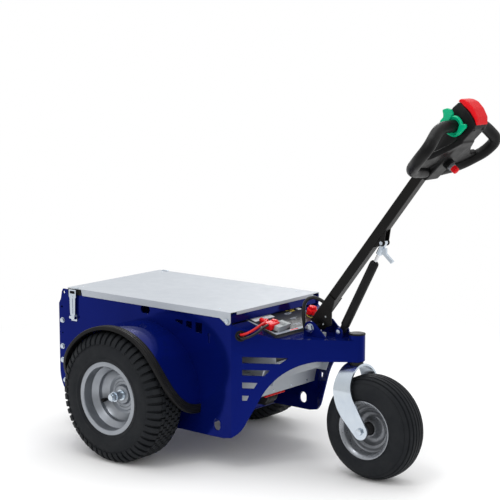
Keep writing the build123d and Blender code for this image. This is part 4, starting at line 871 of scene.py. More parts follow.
# ---- body ----------------------------------------------------------------------------
@dataclass
class Panels:
    """Blue side and nose plates with softened edges, their bolts, welds and inner sheets."""

    edge: float = 0.0010
    column_bolts: tuple[tuple[float, float], ...] = ((-0.365, 0.375), (-0.366, 0.288), (-0.366, 0.242), (-0.355, 0.176))
    bolt: Bolt = Bolt(0.0078, 0.0045, 0.0092)
    weld_bead: float = 0.0022
    weld_pitch: float = 0.0019
    weld_turn: float = 118.0
    floor_front: float = -0.122
    cover_rise: float = 0.030
    cover_sheet: float = 0.003
    screw: PanScrew = PanScrew(0.0038, 0.0011)
    screw_columns: tuple[float, ...] = (-0.17, -0.09, 0.0, 0.09, 0.17)
    screw_rows: tuple[float, float] = (0.16, 0.84)
    inner_nodes: tuple[str, ...] = ("floor_plate", "rear_plate", "nose_deck", "battery_tray", "front_rail")

    def plates(self) -> None:
        """Dress the two side plates."""
        for side in Side:
            dressed(f"side_panel_{side.word}", f"side_plate_{side.word}", BLUE_PAINT, self.edge)

    def inner_sheets(self) -> None:
        """Dress the sheets that span the body."""
        for node in self.inner_nodes:
            finish = GREY_SHEET if node == "battery_tray" else BLUE_PAINT
            sheet = node_shape(node)
            if node == "floor_plate":
                cut_off(sheet, (self.floor_front, 0.0, 0.0), (1.0, 0.0, 0.0))
            settle(f"{node}_sheet", soften(sheet, self.edge, 1), finish, carrier(node), [node], smooth=30.0)
        low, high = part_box("cover_plate")
        cover = node_shape("cover_plate")
        reach, height = high[0] - low[0] - self.cover_sheet, high[2] - low[2]
        rise = Vector((reach, 0.0, height)).normalized() * self.cover_rise
        bmesh.ops.translate(cover, vec=rise, verts=[point for point in cover.verts if point.co.z > high[2] - 0.004])
        settle("cross_cover", soften(cover, self.edge, 1), GREY_SHEET, "chassis", ["cover_plate"])
        tilt = Vector((height, 0.0, low[0] - high[0])).normalized()
        screws = [self.screw.shape((low[0] + self.cover_sheet + reach * share, y, low[2] + height * share), tilt)
                  for y in self.screw_columns for share in self.screw_rows]
        settle("cover_screws", gather(screws), ZINC, "chassis")

    def hardware(self) -> None:
        """Set the bolts of the rear columns."""
        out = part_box("side_plate_left")[1][1]
        bolts = []
        for side in Side:
            for reach, height in self.column_bolts:
                at = (AXLE_X + reach, side.value * out, height)
                bolts.append(self.bolt.shape(at, (0.0, side.value, 0.0), 200.0 * height))
        settle("column_bolts", gather(bolts), ZINC, "chassis")

    def welds(self) -> None:
        """Lay the weld beads where the nose plates meet the head tube."""
        low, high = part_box("head_tube")
        tube = centre("head_tube")
        radius = (high[1] - low[1]) / 2.0
        turn = math.radians(self.weld_turn)
        beads = []
        for side in (-1.0, 1.0):
            height = low[2] + 0.006
            while height < NOSE_TOP - 0.002:
                bead = bmesh.new()
                bmesh.ops.create_icosphere(bead, subdivisions=2, radius=self.weld_bead)
                bmesh.ops.scale(bead, vec=(1.0, 1.0, 0.62), verts=bead.verts[:])
                beads.append(shifted(bead, tube.x + radius * math.cos(turn), side * radius * math.sin(turn), height))
                height += self.weld_pitch
        settle("nose_welds", gather(beads), BLUE_PAINT, "chassis", smooth=60.0)

    def head_tube(self) -> None:
        """Dress the head tube and its plastic cap."""
        dressed("swivel_tube", "head_tube", BLUE_PAINT, 0.0006, smooth=38.0)
        low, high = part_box("head_cap")
        radius, place = (high[0] - low[0]) / 2.0, centre("head_cap")
        dome = ((radius - 0.0035, 0.0), (radius, 0.0004), (radius, 0.0028), (radius - 0.0008, 0.0042),
                (radius - 0.0040, 0.0050), (radius * 0.6, 0.0057), (0.0, 0.0060))
        cap = moved(lathe(dome, 64), basis((place.x, place.y, low[2]), (1.0, 0.0, 0.0), (0.0, -1.0, 0.0)))
        settle("swivel_cap", cap, TRIM_RUBBER, "chassis", ["head_cap"], smooth=50.0)

    def build(self) -> None:
        """Make and dress the whole body."""
        self.plates()
        self.inner_sheets()
        self.hardware()
        self.welds()
        self.head_tube()


@dataclass
class Fender:
    """Barrel fender with a ribbed rubber trim along its curved outer edge.

    Below the spring line the edge turns in to the side plate on a quarter ellipse. A margin grows
    that ellipse outwards along the sheet.
    """

    side: Side
    axis_x: float = -0.297
    axis_z: float = 0.200
    radius: float = 0.222
    sheet: float = 0.003
    plate: float = 0.2183
    across: float = 0.138
    drop: float = 0.158
    spring: float = 0.350
    trim: float = 0.030
    tuck: float = 0.020
    steps: int = 88
    rows: int = 10
    straight: float = 0.42      # share of the edge above the spring line
    # trim's section: (height over the sheet's middle, share of the width)
    trim_section: Profile = (
        (-0.0058, 0.00), (-0.0054, 0.04), (0.0046, 0.04), (0.0058, 0.10), (0.0060, 0.20), (0.0044, 0.235),
        (0.0044, 0.285), (0.0060, 0.32), (0.0060, 0.48), (0.0044, 0.515), (0.0044, 0.565), (0.0060, 0.60),
        (0.0060, 0.76), (0.0044, 0.795), (0.0044, 0.845), (0.0058, 0.88), (0.0046, 0.97), (0.0030, 1.00),
        (-0.0044, 1.00), (-0.0058, 0.96), (-0.0058, 0.5))

    def edge(self, share: float, margin: float) -> tuple[float, float]:
        """Return a point of the edge on the front view.

        Args:
            share: From -1 to 1 along the edge, 0 at the top.
            margin: Distance outside the trim's inner edge.

        Returns:
            Its turn about the fender's axis from the top, and its distance from the side plate.
        """
        spring_turn = math.acos((self.spring - self.axis_z) / self.radius)
        amount = abs(share)
        if amount <= self.straight:
            turn, out = spring_turn * amount / self.straight, self.across + margin
        else:
            dip = math.radians(90.0) * (amount - self.straight) / (1.0 - self.straight)
            height = self.spring - (self.drop + margin) * math.sin(dip)
            turn = math.acos(max(-1.0, min(1.0, (height - self.axis_z) / self.radius)))
            out = (self.across + margin) * math.cos(dip)
        return math.copysign(turn, share), out

    def bent(self, section: Profile, across: Callable[[float], tuple[float, float]]) -> Shape:
        """Return a closed section swept along the fender.

        Args:
            section: Points as (height over the sheet's middle, share of the width).
            across: Gives the margin and the reach for a share of the width.

        Returns:
            The swept shape, on the left-hand side.
        """
        shape = bmesh.new()
        verts = [shape.verts.new((1.0 + height, share, 0.0)) for height, share in section]
        edges = [shape.edges.new((verts[index - 1], vert)) for index, vert in enumerate(verts)]
        shape.faces.new(verts)
        bmesh.ops.spin(shape, geom=verts + edges + shape.faces[:], cent=(0.0, 0.0, 0.0), axis=(0.0, 1.0, 0.0),
                       dvec=(0.0, 0.0, 0.0), angle=-2.0, steps=self.steps, use_merge=False, use_duplicate=False)
        for vert in shape.verts:
            along = math.atan2(vert.co.z, vert.co.x) - 1.0
            height, share = math.hypot(vert.co.x, vert.co.z) - 1.0, vert.co.y
            vert.co = self.laid(along, height, across(share))
        bmesh.ops.remove_doubles(shape, verts=shape.verts[:], dist=2e-5)
        bmesh.ops.recalc_face_normals(shape, faces=shape.faces[:])
        return shape

    def laid(self, share: float, height: float, spot: tuple[float, float]) -> Vector:
        """Return a point of the fender in the model's frame.

        Args:
            share: From -1 to 1 along the edge.
            height: Height over the sheet's middle.
            spot: Margin of the edge that it follows, and its share of the reach.
        """
        margin, reach = spot
        turn, out = self.edge(share, margin)
        radius = self.radius - self.sheet / 2.0 + height
        return Vector((self.axis_x + radius * math.sin(turn), self.plate + out * reach,
                       self.axis_z + radius * math.cos(turn)))

    def build(self) -> None:
        """Make and dress the fender."""
        half = self.sheet / 2.0
        top = [(half, step / self.rows) for step in range(self.rows + 1)]
        sheet_section = top + [(-half, share) for _, share in reversed(top)]
        node = f"fender_{self.side.word}"
        barrel = self.bent(sheet_section, lambda share: (self.tuck, share))
        settle(f"fender_barrel_{self.side.word}", sided(barrel, self.side), BLUE_PAINT, "chassis", [node], smooth=45.0)
        band = self.bent(self.trim_section, lambda share: (self.trim * share, 1.0))
        settle(f"fender_rubber_{self.side.word}", sided(band, self.side), TRIM_RUBBER, "chassis",
               [f"fender_trim_{self.side.word}"], smooth=40.0)


@dataclass
class Lid:
    """Folded grey lid with its rivets, its rubber corners and the strikes of its latches."""

    rivets: tuple[tuple[float, float], ...] = ((-0.60, -0.19), (-0.60, 0.19), (-0.02, -0.19), (-0.02, 0.19))
    strike: tuple[float, float, float] = (0.024, 0.010, 0.0032)
    trim_from: float = 0.040
    trim_half: float = 0.200
    trim_rise: float = 0.0105
    trim_depth: float = 0.017
    rivet: PanScrew = PanScrew(0.0032, 0.0007)
    pivot: Bolt = Bolt(0.0088, 0.0045)
    strike_back: float = 0.306

    def folded(self) -> Shape:
        """Return the sheet of the lid, its front edge turned down less between the corners."""
        shape = node_shape("lid")
        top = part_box("lid")[1][2]
        for corner in shape.verts:
            place = corner.co
            if place.x > self.trim_from and abs(place.y) < self.trim_half and place.z < top - self.trim_depth:
                place.z += self.trim_rise
        return shape

    def build(self) -> None:
        """Make and dress the lid and what it carries."""
        body = carrier("lid")
        settle("folded_lid", soften(self.folded(), 0.0007, 2), GREY_SHEET, body, ["lid"], smooth=30.0)
        low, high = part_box("lid")
        rivets = [self.rivet.shape((x, y, high[2]), (0.0, 0.0, 1.0)) for x, y in self.rivets]
        settle("lid_rivets", gather(rivets), ZINC, body)
        length, width, depth = self.strike
        strikes = []
        for side in Side:
            plate = soften(box_slab(length, width, depth), 0.0008)
            strikes.append(shifted(plate, AXLE_X - self.strike_back, side.value * (high[1] - width / 2.0),
                                   high[2] - 0.0006))
        settle("latch_strikes", gather(strikes), ZINC, body)
        rubbers = []
        for side in Side:
            for x, reach in ((low[0] + 0.030, 0.030), (high[0] - 0.0145, 0.0135)):
                pad = soften(box_slab(reach * 2.0, 0.003, 0.0185, -0.0205), 0.0008)
                rubbers.append(shifted(pad, x, side.value * (high[1] - 0.0034), high[2] - 0.0016))
        settle("corner_rubbers", gather(rubbers), TRIM_RUBBER, body)
        for side in Side:
            node = f"lid_bolt_{side.word}"
            place, edge = centre(node), side.outer(node)
            head = self.pivot.shape((place.x, edge - side.value * 0.005, place.z), (0.0, side.value, 0.0), 8.0)
            settle(f"lid_pivot_{side.word}", head, ZINC, carrier(node), [node])


@dataclass
class Latch:
    """Draw latch: zinc frame with a window, rivet, lever and knob, on a base plate."""

    side: Side
    rivet: PanScrew = PanScrew(0.0042, 0.0016)

    def build(self) -> None:
        """Make and dress the latch."""
        for node, edge in ((f"latch_{self.side.word}", 0.0007), (f"latch_base_{self.side.word}", 0.0005)):
            dressed(f"{node}_plate", node, ZINC, edge)
        node = f"latch_{self.side.word}"
        low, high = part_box(node)
        face = self.side.outer(node)
        middle, out = (low[0] + high[0]) / 2.0, (0.0, self.side.value, 0.0)
        rivets = [self.rivet.shape((middle, face - self.side.value * 0.0046, high[2] - 0.022), out)]
        rib = soften(box_slab(0.050, 0.0045, 0.0024), 0.0009)
        rib = moved(rib, basis((middle, face - self.side.value * 0.0046, high[2] - 0.054), (0.0, 0.0, 1.0), out))
        knob = soften(peg(0.0056, 0.024, 24, -0.012), 0.0014)
        knob = moved(knob, basis((middle, face - self.side.value * 0.0045, low[2] + 0.0052), (0.0, 0.0, 1.0),
                                 (1.0, 0.0, 0.0)))
        settle(f"latch_details_{self.side.word}", gather([*rivets, rib, knob]), ZINC, carrier(node))


# ---- battery and cables --------------------------------------------------------------
@dataclass
class Battery:
    """Tilted battery with its label panel, plug, stickers, connector and terminal boot.

    Places on its top are (back from the front edge, to the right, up), in metres.
    """

    front: tuple[float, float, float] = (0.154, 0.0, 0.419)
    tilt: float = 14.0
    connector_at: tuple[float, float, float] = (0.034, 0.088, 6.0)
    handle_at: tuple[float, float, float] = (0.072, 0.106, -18.0)
    boot_at: tuple[float, float] = (0.062, -0.118)
    plug_at: tuple[float, float] = (0.050, -0.106)
    # outline of a side wall of the bay, in X and Z
    cheek: Profile = (
        (0.045, 0.262), (0.140, 0.262), (0.155, 0.300), (0.150, 0.385), (-0.045, 0.440), (-0.062, 0.360))
    # plain bars: (back, right, length, width)
    yellow_bars: tuple[tuple[float, float, float, float], ...] = (
        (0.120, -0.066, 0.0045, 0.014), (0.120, -0.090, 0.0045, 0.018), (0.110, -0.080, 0.0045, 0.022))
    grey_bars: tuple[tuple[float, float, float, float], ...] = (
        (0.104, -0.050, 0.0026, 0.036), (0.098, -0.046, 0.0026, 0.028), (0.070, -0.036, 0.0026, 0.034),
        (0.064, -0.030, 0.0026, 0.022), (0.034, -0.004, 0.0026, 0.036), (0.028, -0.010, 0.0026, 0.024))

    def top(self) -> Matrix:
        """Return the matrix of the battery's top face."""
        lean = math.radians(self.tilt)
        return basis(self.front, (-math.cos(lean), 0.0, math.sin(lean)), (math.sin(lean), 0.0, math.cos(lean)))

    def on_top(self, shape: Shape, back: float, right: float, turn: float = 0.0) -> Shape:
        """Return a shape laid on the battery's top.

        Args:
            shape: The shape, about its own origin.
            back: Distance back from the front edge.
            right: Distance to the right of the middle.
            turn: Degrees that it is turned by.
        """
        return moved(shape, self.top() @ Matrix.Translation((back, right, 0.0)) @
                     Matrix.Rotation(math.radians(turn), 4, "Z"))

    def case(self) -> None:
        """Make the case, its label film and its ribbed rear strip."""
        dressed("battery_case", "battery", BATTERY_CASE, 0.0035, 3, smooth=38.0)
        border = soften(box_slab(0.151, 0.262, 0.0010), 0.0004, 1)
        panel = soften(box_slab(0.115, 0.251, 0.0016), 0.0004, 1)
        settle("label_border", self.on_top(border, 0.0775, 0.0), LABEL_GREY, "chassis")
        settle("label_panel", self.on_top(panel, 0.0705, 0.0), LABEL_DARK, "chassis")
        ribs = [self.on_top(soften(box_slab(0.0030, 0.251, 0.0026), 0.0007), 0.1315 + 0.0045 * step, 0.0)
                for step in range(5)]
        settle("rear_ribs", gather(ribs), BATTERY_CASE, "chassis")

    def cheeks(self) -> None:
        """Make the pale side walls of the battery's bay."""
        walls = [turned(slab(self.cheek, 0.0015, low), 90.0, "X") for low in (0.1345, -0.1360)]
        settle("bay_cheeks", gather(walls), GREY_SHEET, "chassis")

    def fittings(self) -> None:
        """Make the round plug, the blank stickers and the plain bars."""
        rim = soften(peg(0.0190, 0.0034, 40), 0.0008)
        knob = soften(peg(0.0140, 0.0052, 32), 0.0010)
        slot = shifted(soften(box_slab(0.0200, 0.0026, 0.0014), 0.0004, 1), z=0.0050)
        settle("battery_plug", self.on_top(gather([rim, knob, slot]), *self.plug_at, 30.0), BATTERY_CASE, "chassis")
        sticker = soften(box_slab(0.027, 0.096, 0.0021), 0.0003, 1)
        tag = soften(box_slab(0.022, 0.016, 0.0022), 0.0003, 1)
        settle("blank_sticker", gather([self.on_top(sticker, 0.114, 0.066, 1.0), self.on_top(tag, 0.118, -0.118)]),
               LABEL_WHITE, "chassis")
        ring = lathe(((0.0152, 0.0030), (0.0152, 0.0040), (0.0174, 0.0040), (0.0174, 0.0030)), 40, closed=True)
        ring = self.on_top(turned(ring, 90.0, "X"), *self.plug_at)
        settle("yellow_bars", gather([*self.bars(self.yellow_bars, 0.0020), ring]), LABEL_YELLOW, "chassis")
        settle("grey_bars", gather(self.bars(self.grey_bars, 0.0019)), LABEL_GREY, "chassis")
        red_bars = self.bars(((0.0075, 0.040, 0.0045, 0.038),), 0.0014)
        settle("red_bar", gather(red_bars), RED_PLASTIC, "chassis")

    def bars(self, places: Sequence[tuple[float, float, float, float]], height: float) -> list[Shape]:
        """Return thin bars on the battery's top, given as (back, right, length, width)."""
        return [self.on_top(soften(box_slab(length, width, height), 0.0002, 1), back, right)
                for back, right, length, width in places]

    def connector(self) -> None:
        """Make the grey two-pole connector and its red T-handle."""
        back, right, turn = self.connector_at
        shell = soften(box_slab(0.040, 0.052, 0.0165, 0.0002), 0.0022, 3)
        nose = shifted(soften(box_slab(0.034, 0.030, 0.0135, 0.0002), 0.0020, 3), 0.001, -0.034)
        mouths = [nose, *[shifted(turned(soften(stadium(0.0135, 0.0115, 0.0045), 0.0012), 90.0, "X"),
                                  -0.0100 + 0.0200 * step, 0.0282, 0.0078) for step in range(2)]]
        grips = [shifted(soften(box_slab(0.030, 0.0022, 0.0020), 0.0006), 0.0, -0.018 + 0.0046 * step, 0.0164)
                 for step in range(4)]
        settle("power_connector", self.on_top(gather([shell, *mouths, *grips]), back, right, turn), GREY_PLASTIC,
               "chassis", ["connector"])
        back, right, turn = self.handle_at
        bar = self.on_top(soften(box_slab(0.046, 0.0150, 0.0135, 0.0030), 0.0050, 3), back, right, turn)
        tip = self.on_top(soften(box_slab(0.015, 0.0270, 0.0125, 0.0030), 0.0040, 3), back + 0.008, right - 0.008, turn)
        link = self.on_top(soften(box_slab(0.030, 0.052, 0.0200, 0.0010), 0.0050, 3), 0.045, 0.106, 8.0)
        lobe = self.on_top(soften(box_slab(0.022, 0.020, 0.0225, 0.0010), 0.0050, 3), 0.050, 0.088, 20.0)
        settle("connector_handle", gather([bar, tip, link, lobe]), RED_PLASTIC, "chassis", smooth=50.0)

    def boot(self) -> None:
        """Make the faceted red terminal boot with its cable neck."""
        back, right = self.boot_at
        skirt = soften(peg(0.0178, 0.020, 8, 0.0002, 0.0030), 0.0024, 3)
        crown = soften(peg(0.0140, 0.0095, 8, 0.0195, 0.0012), 0.0026, 3)
        neck = moved(soften(peg(0.0068, 0.012, 20), 0.0012),
                     basis((0.0, 0.010, 0.013), (0.0, 0.0, 1.0), (0.0, 1.0, 0.0)))
        settle("boot_cover", self.on_top(gather([skirt, crown, neck]), back, right, 11.0), RED_PLASTIC, "chassis",
               ["terminal_boot"], smooth=40.0)

    def build(self) -> None:
        """Make and dress everything on the battery."""
        self.case()
        self.fittings()
        self.cheeks()
        self.connector()
        self.boot()


@dataclass(frozen=True)
class Cable:
    """One flexible cable on its own smooth line.

    Attributes:
        name: Name of the piece.
        node: Node that it stands for.
        route: Points of its route, in the model's frame.
        radius: Its radius.
        length: Its real length; not used.
        stiffness: How it bends; not used.
    """

    name: str
    node: str
    route: tuple[Point, ...]
    radius: float
    length: float
    stiffness: str = "medium"

    def build(self, finish: Finish) -> bpy.types.Object:
        curve = bpy.data.curves.new(self.name, "CURVE")
        curve.dimensions = "3D"
        curve.bevel_depth = self.radius
        curve.bevel_resolution = 6
        curve.resolution_u = 16
        curve.use_fill_caps = True
        spline = curve.splines.new("NURBS")
        spline.points.add(len(self.route) - 1)
        for knot, place in zip(spline.points, self.route):
            knot.co = (*place, 1.0)
        spline.order_u = 3
        spline.use_endpoint_u = True
        cable = bpy.data.objects.new(self.name, curve)
        bpy.context.scene.collection.objects.link(cable)
        curve.materials.append(finish.material())
        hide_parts(self.node)
        return cable


@dataclass
class Wiring:
    """The two battery cables, the cable up the tiller and the grommet in the nose plate."""

    red: Cable = Cable("red_battery_cable", "red_cable", RED_ROUTE, 0.004, 0.1366)
    black: Cable = Cable("black_battery_cable", "black_cable", BLACK_ROUTE, 0.004, 0.1566)
    tiller: Cable = Cable("tiller_loop_cable", "tiller_cable", TILLER_ROUTE, 0.0055, 0.1633)
    nose_half: float = 0.0295
    nose_reach: float = 0.30265
    ring_along: float = 0.029
    ring_height: float = 0.4175
    grommet: Profile = (
        (0.0102, -0.0055), (0.0128, -0.0055), (0.0132, -0.0045), (0.0132, -0.0004), (0.0160, -0.0002),
        (0.0169, 0.0010), (0.0168, 0.0026), (0.0150, 0.0038), (0.0118, 0.0039), (0.0104, 0.0028))

    def cords(self) -> None:
        """Make the three cables."""
        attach(self.red.build(RED_CABLE), "chassis")
        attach(self.black.build(BLACK_CABLE), "chassis")
        loop = self.tiller.build(BLACK_CABLE)
        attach(loop, "chassis")
        log.info("three cables laid")

    def ring(self) -> None:
        """Make the rubber grommet."""
        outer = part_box("side_plate_right")[0][1]
        fold = (REAR_AXLE_TO_FOLD + AXLE_X, outer, 0.0)
        angle = math.atan2(-outer - self.nose_half, self.nose_reach)
        run, out = (math.cos(angle), math.sin(angle), 0.0), (math.sin(angle), -math.cos(angle), 0.0)
        spot = Vector(fold) + Vector(run) * self.ring_along + Vector((0.0, 0.0, self.ring_height))
        ring = turned(lathe(self.grommet, 56, closed=True), 90.0, "X")
        settle("cable_grommet_ring", moved(ring, basis(spot, run, out)), TRIM_RUBBER, "chassis", ["cable_grommet"],
               smooth=50.0)


# ---- tiller --------------------------------------------------------------------------
@dataclass
class TillerFrame:
    """The tiller's own directions: along it, across it and below it."""

    pivot: tuple[float, float] = (0.213, 0.435)
    angle: float = 52.2

    def at(self, along: float, below: float, y: float = 0.0) -> Vector:
        """Return a point given along the tiller and below the tube's lower face."""
        lean = math.radians(self.angle)
        return Vector((self.pivot[0] + along * math.cos(lean) + below * math.sin(lean), y,
                       self.pivot[1] + along * math.sin(lean) - below * math.cos(lean)))

    def run(self) -> Vector:
        """Return the direction up the tiller."""
        lean = math.radians(self.angle)
        return Vector((math.cos(lean), 0.0, math.sin(lean)))

    def down(self) -> Vector:
        """Return the direction out of the tiller's underside."""
        lean = math.radians(self.angle)
        return Vector((math.sin(lean), 0.0, -math.cos(lean)))

    def place(self, along: float, below: float, y: float, out: Vector) -> Matrix:
        """Return the matrix at a point of the tiller, with local X up the tiller and Z out."""
        return basis(self.at(along, below, y), self.run(), out)


@dataclass
class Shaft:
    """Square tube with its foot, ears, pivot bolt, rivets and stop."""

    tiller: TillerFrame = field(default_factory=TillerFrame)
    # steel nodes, the rounding of their edges and their finishes
    steel: tuple[tuple[str, float, Finish], ...] = (
        ("tiller_tube", 0.0009, BLACK_PAINT), ("tiller_foot", 0.0009, BLACK_PAINT),
        ("tiller_ear_left", 0.0010, BLUE_PAINT), ("tiller_ear_right", 0.0010, BLUE_PAINT),
        ("spring_lugs", 0.0008, BLUE_PAINT), ("spring_ear_left", 0.0008, BLACK_PAINT),
        ("spring_ear_right", 0.0008, BLACK_PAINT))
    rivet: PanScrew = PanScrew(0.0028, 0.0012)
    rivets_at: tuple[tuple[float, float], ...] = ((0.026, 0.016), (0.050, 0.008))
    pivot: Bolt = Bolt(0.0128, 0.0082, 0.0142)
    pin: Bolt = Bolt(0.0075, 0.0042)
    pin_at: tuple[float, float] = (0.298, 0.430)
    stop_at: tuple[float, float] = (0.249, -0.032)

    def build(self) -> None:
        """Make and dress the tiller's lower end."""
        for node, edge, finish in self.steel:
            dressed(f"{node}_steel", node, finish, edge)
        rivets = [self.rivet.shape(self.tiller.at(along, below, -0.0200), (0.0, -1.0, 0.0))
                  for along, below in self.rivets_at]
        settle("foot_rivets", gather(rivets), GREY_PLASTIC, "tiller")
        low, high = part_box("tiller_bolt")
        place = centre("tiller_bolt")
        heads = [self.pivot.shape((place.x, edge - sign * 0.009, place.z), (0.0, sign, 0.0), 15.0)
                 for edge, sign in ((high[1], 1.0), (low[1], -1.0))]
        shank = soften(peg(0.0079, high[1] - low[1] - 0.012, 32, low[1] + 0.006), 0.0004)
        shank = along_y(shank, (place.x, 0.0, place.z))
        settle("pivot_bolt", gather([*heads, shank]), ZINC, carrier("tiller_bolt"), ["tiller_bolt"])
        low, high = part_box("spring_lugs")
        pins = [self.pin.shape((self.pin_at[0], edge - sign * 0.0002, self.pin_at[1]), (0.0, sign, 0.0), 10.0)
                for edge, sign in ((high[1], 1.0), (low[1], -1.0))]
        settle("spring_pin_heads", gather(pins), ZINC, "chassis")
        stop = shifted(soften(box_slab(0.017, 0.014, 0.0135), 0.0020, 3), *self.stop_at, NOSE_TOP)
        settle("foot_stop", stop, GREY_PLASTIC, "chassis")


@dataclass
class GasSpring:
    """Gas spring with a sleeved cylinder, a polished rod, a forked end and its release lever."""

    low: tuple[float, float] = (0.298, 0.430)
    high_along: float = 0.3575
    high_below: float = 0.0138
    sleeve_radius: float = 0.0137
    sleeve_top: float = 0.066
    tiller: TillerFrame = field(default_factory=TillerFrame)

    def line(self) -> tuple[Vector, Vector, float]:
        """Return the lower pin, the direction to the upper pin and the distance between them."""
        foot = Vector((self.low[0], 0.0, self.low[1]))
        head = self.tiller.at(self.high_along, self.high_below)
        return foot, (head - foot).normalized(), (head - foot).length

    def spun(self, profile: Profile, steps: int = 48) -> Shape:
        """Return a profile of (radius, distance from the lower pin) turned about the spring's line."""
        foot, run, _ = self.line()
        turn = Vector((0.0, 1.0, 0.0)).rotation_difference(run).to_matrix().to_4x4()
        return moved(lathe(profile, steps), Matrix.Translation(foot) @ turn)

    def build(self) -> None:
        """Make and dress the gas spring."""
        foot, run, length = self.line()
        radius, top = self.sleeve_radius, length - self.sleeve_top
        sleeve = self.spun((
            (0.0, 0.0185), (radius - 0.004, 0.0185), (radius - 0.001, 0.0200), (radius, 0.0225), (radius, top - 0.010),
            (radius - 0.0006, top - 0.006), (radius - 0.003, top - 0.0020), (radius - 0.006, top - 0.0002),
            (0.0056, top), (0.0052, top - 0.006)))
        eye = soften(box_slab(0.017, 0.017, 0.019, 0.0), 0.0014)
        eye = moved(eye, basis(foot + run * 0.0015, (0.0, 1.0, 0.0), run))
        boss = along_y(soften(peg(0.0089, 0.0178, 32, -0.0089), 0.0008), foot)
        settle("spring_sleeve", gather([sleeve, eye, boss]), TRIM_RUBBER, carrier("gas_cylinder"), ["gas_cylinder"],
               smooth=45.0)
        rod = self.spun(((0.0, top - 0.088), (0.0049, top - 0.088), (0.0049, length - 0.041), (0.0, length - 0.041)),
                        32)
        settle("spring_rod", rod, POLISHED, carrier("gas_rod"), ["gas_rod"], smooth=45.0)
        nut = self.spun((
            (0.0, length - 0.040), (0.0078, length - 0.040), (0.0088, length - 0.0390), (0.0088, length - 0.0335),
            (0.0072, length - 0.0325), (0.0072, length - 0.0290), (0.0084, length - 0.0280), (0.0084, length - 0.020),
            (0.0, length - 0.0195)), 28)
        fork = soften(node_shape("rod_end"), 0.0008, 2)
        settle("fork_end", gather([nut, fork]), ZINC, carrier("rod_end"), ["rod_end"], smooth=35.0)
        dressed("release_arm", "release_lever", ZINC, 0.0016, 3, smooth=40.0)
        head = self.tiller.at(self.high_along, self.high_below)
        pins = [Bolt(0.0060, 0.0022).shape((head.x, sign * 0.0162, head.z), (0.0, sign, 0.0)) for sign in (-1.0, 1.0)]
        settle("upper_pin_heads", gather(pins), ZINC, "tiller")


@dataclass
class Head:
    """Moulded control head: housing, two looped handles, throttles, stop cap and horn button."""

    tiller: TillerFrame = field(default_factory=TillerFrame)
    throttle_at: tuple[float, float] = (0.786, -0.004)
    horn_at: float = 0.678
    screws: tuple[float, ...] = (-0.028, 0.020)
    screws_at: tuple[float, float] = (0.814, 0.0473)
    screw_ring: Profile = ((0.0034, 0.0006), (0.0050, 0.0008), (0.0056, 0.0), (0.0056, -0.003), (0.0034, -0.003))
    dish: Profile = (
        (0.0176, 0.0002), (0.0280, 0.0002), (0.0296, 0.0014), (0.0298, 0.0036), (0.0280, 0.0078),
        (0.0262, 0.0092), (0.0246, 0.0088), (0.0225, 0.0068), (0.0184, 0.0060), (0.0176, 0.0052))
    upper_wing: Profile = (
        (-0.0200, 0.0150), (-0.0190, 0.0370), (-0.0130, 0.0400), (0.0000, 0.0385), (0.0070, 0.0440),
        (0.0120, 0.0510), (0.0160, 0.0525), (0.0265, 0.0450), (0.0325, 0.0330), (0.0260, 0.0200), (0.0160, 0.0190))
    lower_wing: Profile = (
        (-0.0100, -0.0220), (-0.0080, -0.0300), (0.0060, -0.0320), (0.0160, -0.0325), (0.0235, -0.0345),
        (0.0300, -0.0300), (0.0295, -0.0250), (0.0240, -0.0200), (0.0260, -0.0100), (0.0180, -0.0130))
    horn_collar: Profile = ((0.0088, 0.0505), (0.0104, 0.0505), (0.0114, 0.0492), (0.0114, 0.0418), (0.0088, 0.0418))
    horn_cap: Profile = (
        (0.0, 0.0420), (0.0098, 0.0440), (0.0101, 0.0630), (0.0092, 0.0655), (0.0065, 0.0667), (0.0, 0.0670))

    def housing(self) -> None:
        """Make the housing, the handles and the screws in its underside."""
        moulded("head_housing", "head_body", BLACK_PLASTIC, 0.0020, 12)
        for side in Side:
            moulded(f"handle_{side.word}", f"grip_{side.word}", BLACK_PLASTIC, 0.0022, 8)
        screws = []
        for y in self.screws:
            ring = turned(lathe(self.screw_ring, 24, closed=True), 90.0, "X")
            recess = soften(peg(0.0034, 0.0004, 6, -0.0026), 0.0002, 1)
            screws.append(moved(gather([ring, recess]), self.tiller.place(*self.screws_at, y, self.tiller.down())))
        settle("belly_screws", gather(screws), DARK_STEEL, "tiller")

    def throttles(self) -> None:
        """Make the two green throttles, each a dished ring with two paddles."""
        for side in Side:
            node = f"throttle_{side.word}"
            inner = Side(-side.value).outer(node)
            dish = turned(lathe(self.dish, 56, closed=True), 90.0, "X")
            wings = [soften(slab(outline, 0.0105, 0.0008), 0.0032, 3) for outline in (self.upper_wing, self.lower_wing)]
            whole = gather([dish, *wings])
            if side is Side.LEFT:
                whole = other_side(whole)
            place = self.tiller.place(*self.throttle_at, inner, Vector((0.0, side.value, 0.0)))
            settle(f"green_throttle_{side.word}", moved(whole, place), GREEN_PLASTIC, carrier(node), [node],
                   smooth=50.0)

    def buttons(self) -> None:
        """Make the red stop cap and the horn button with its nut and collar."""
        moulded("stop_button", "stop_cap", RED_PLASTIC, 0.0013, 30)
        spot = self.tiller.place(self.horn_at, 0.0, 0.0, self.tiller.down())
        nut = soften(peg(0.0165, 0.017, 6, 0.0245), 0.0018, 3)
        settle("horn_nut", moved(nut, spot), BLACK_PLASTIC, "tiller", ["horn_button"], smooth=40.0)
        collar = turned(lathe(self.horn_collar, 40, closed=True), 90.0, "X")
        settle("horn_collar", moved(collar, spot), GREY_RIM, "tiller", smooth=40.0)
        cap = turned(lathe(self.horn_cap, 40), 90.0, "X")
        settle("horn_cap", moved(cap, spot), RED_PLASTIC, "tiller", smooth=50.0)

    def build(self) -> None:
        """Make and dress the head."""
        self.housing()
        self.throttles()
        self.buttons()


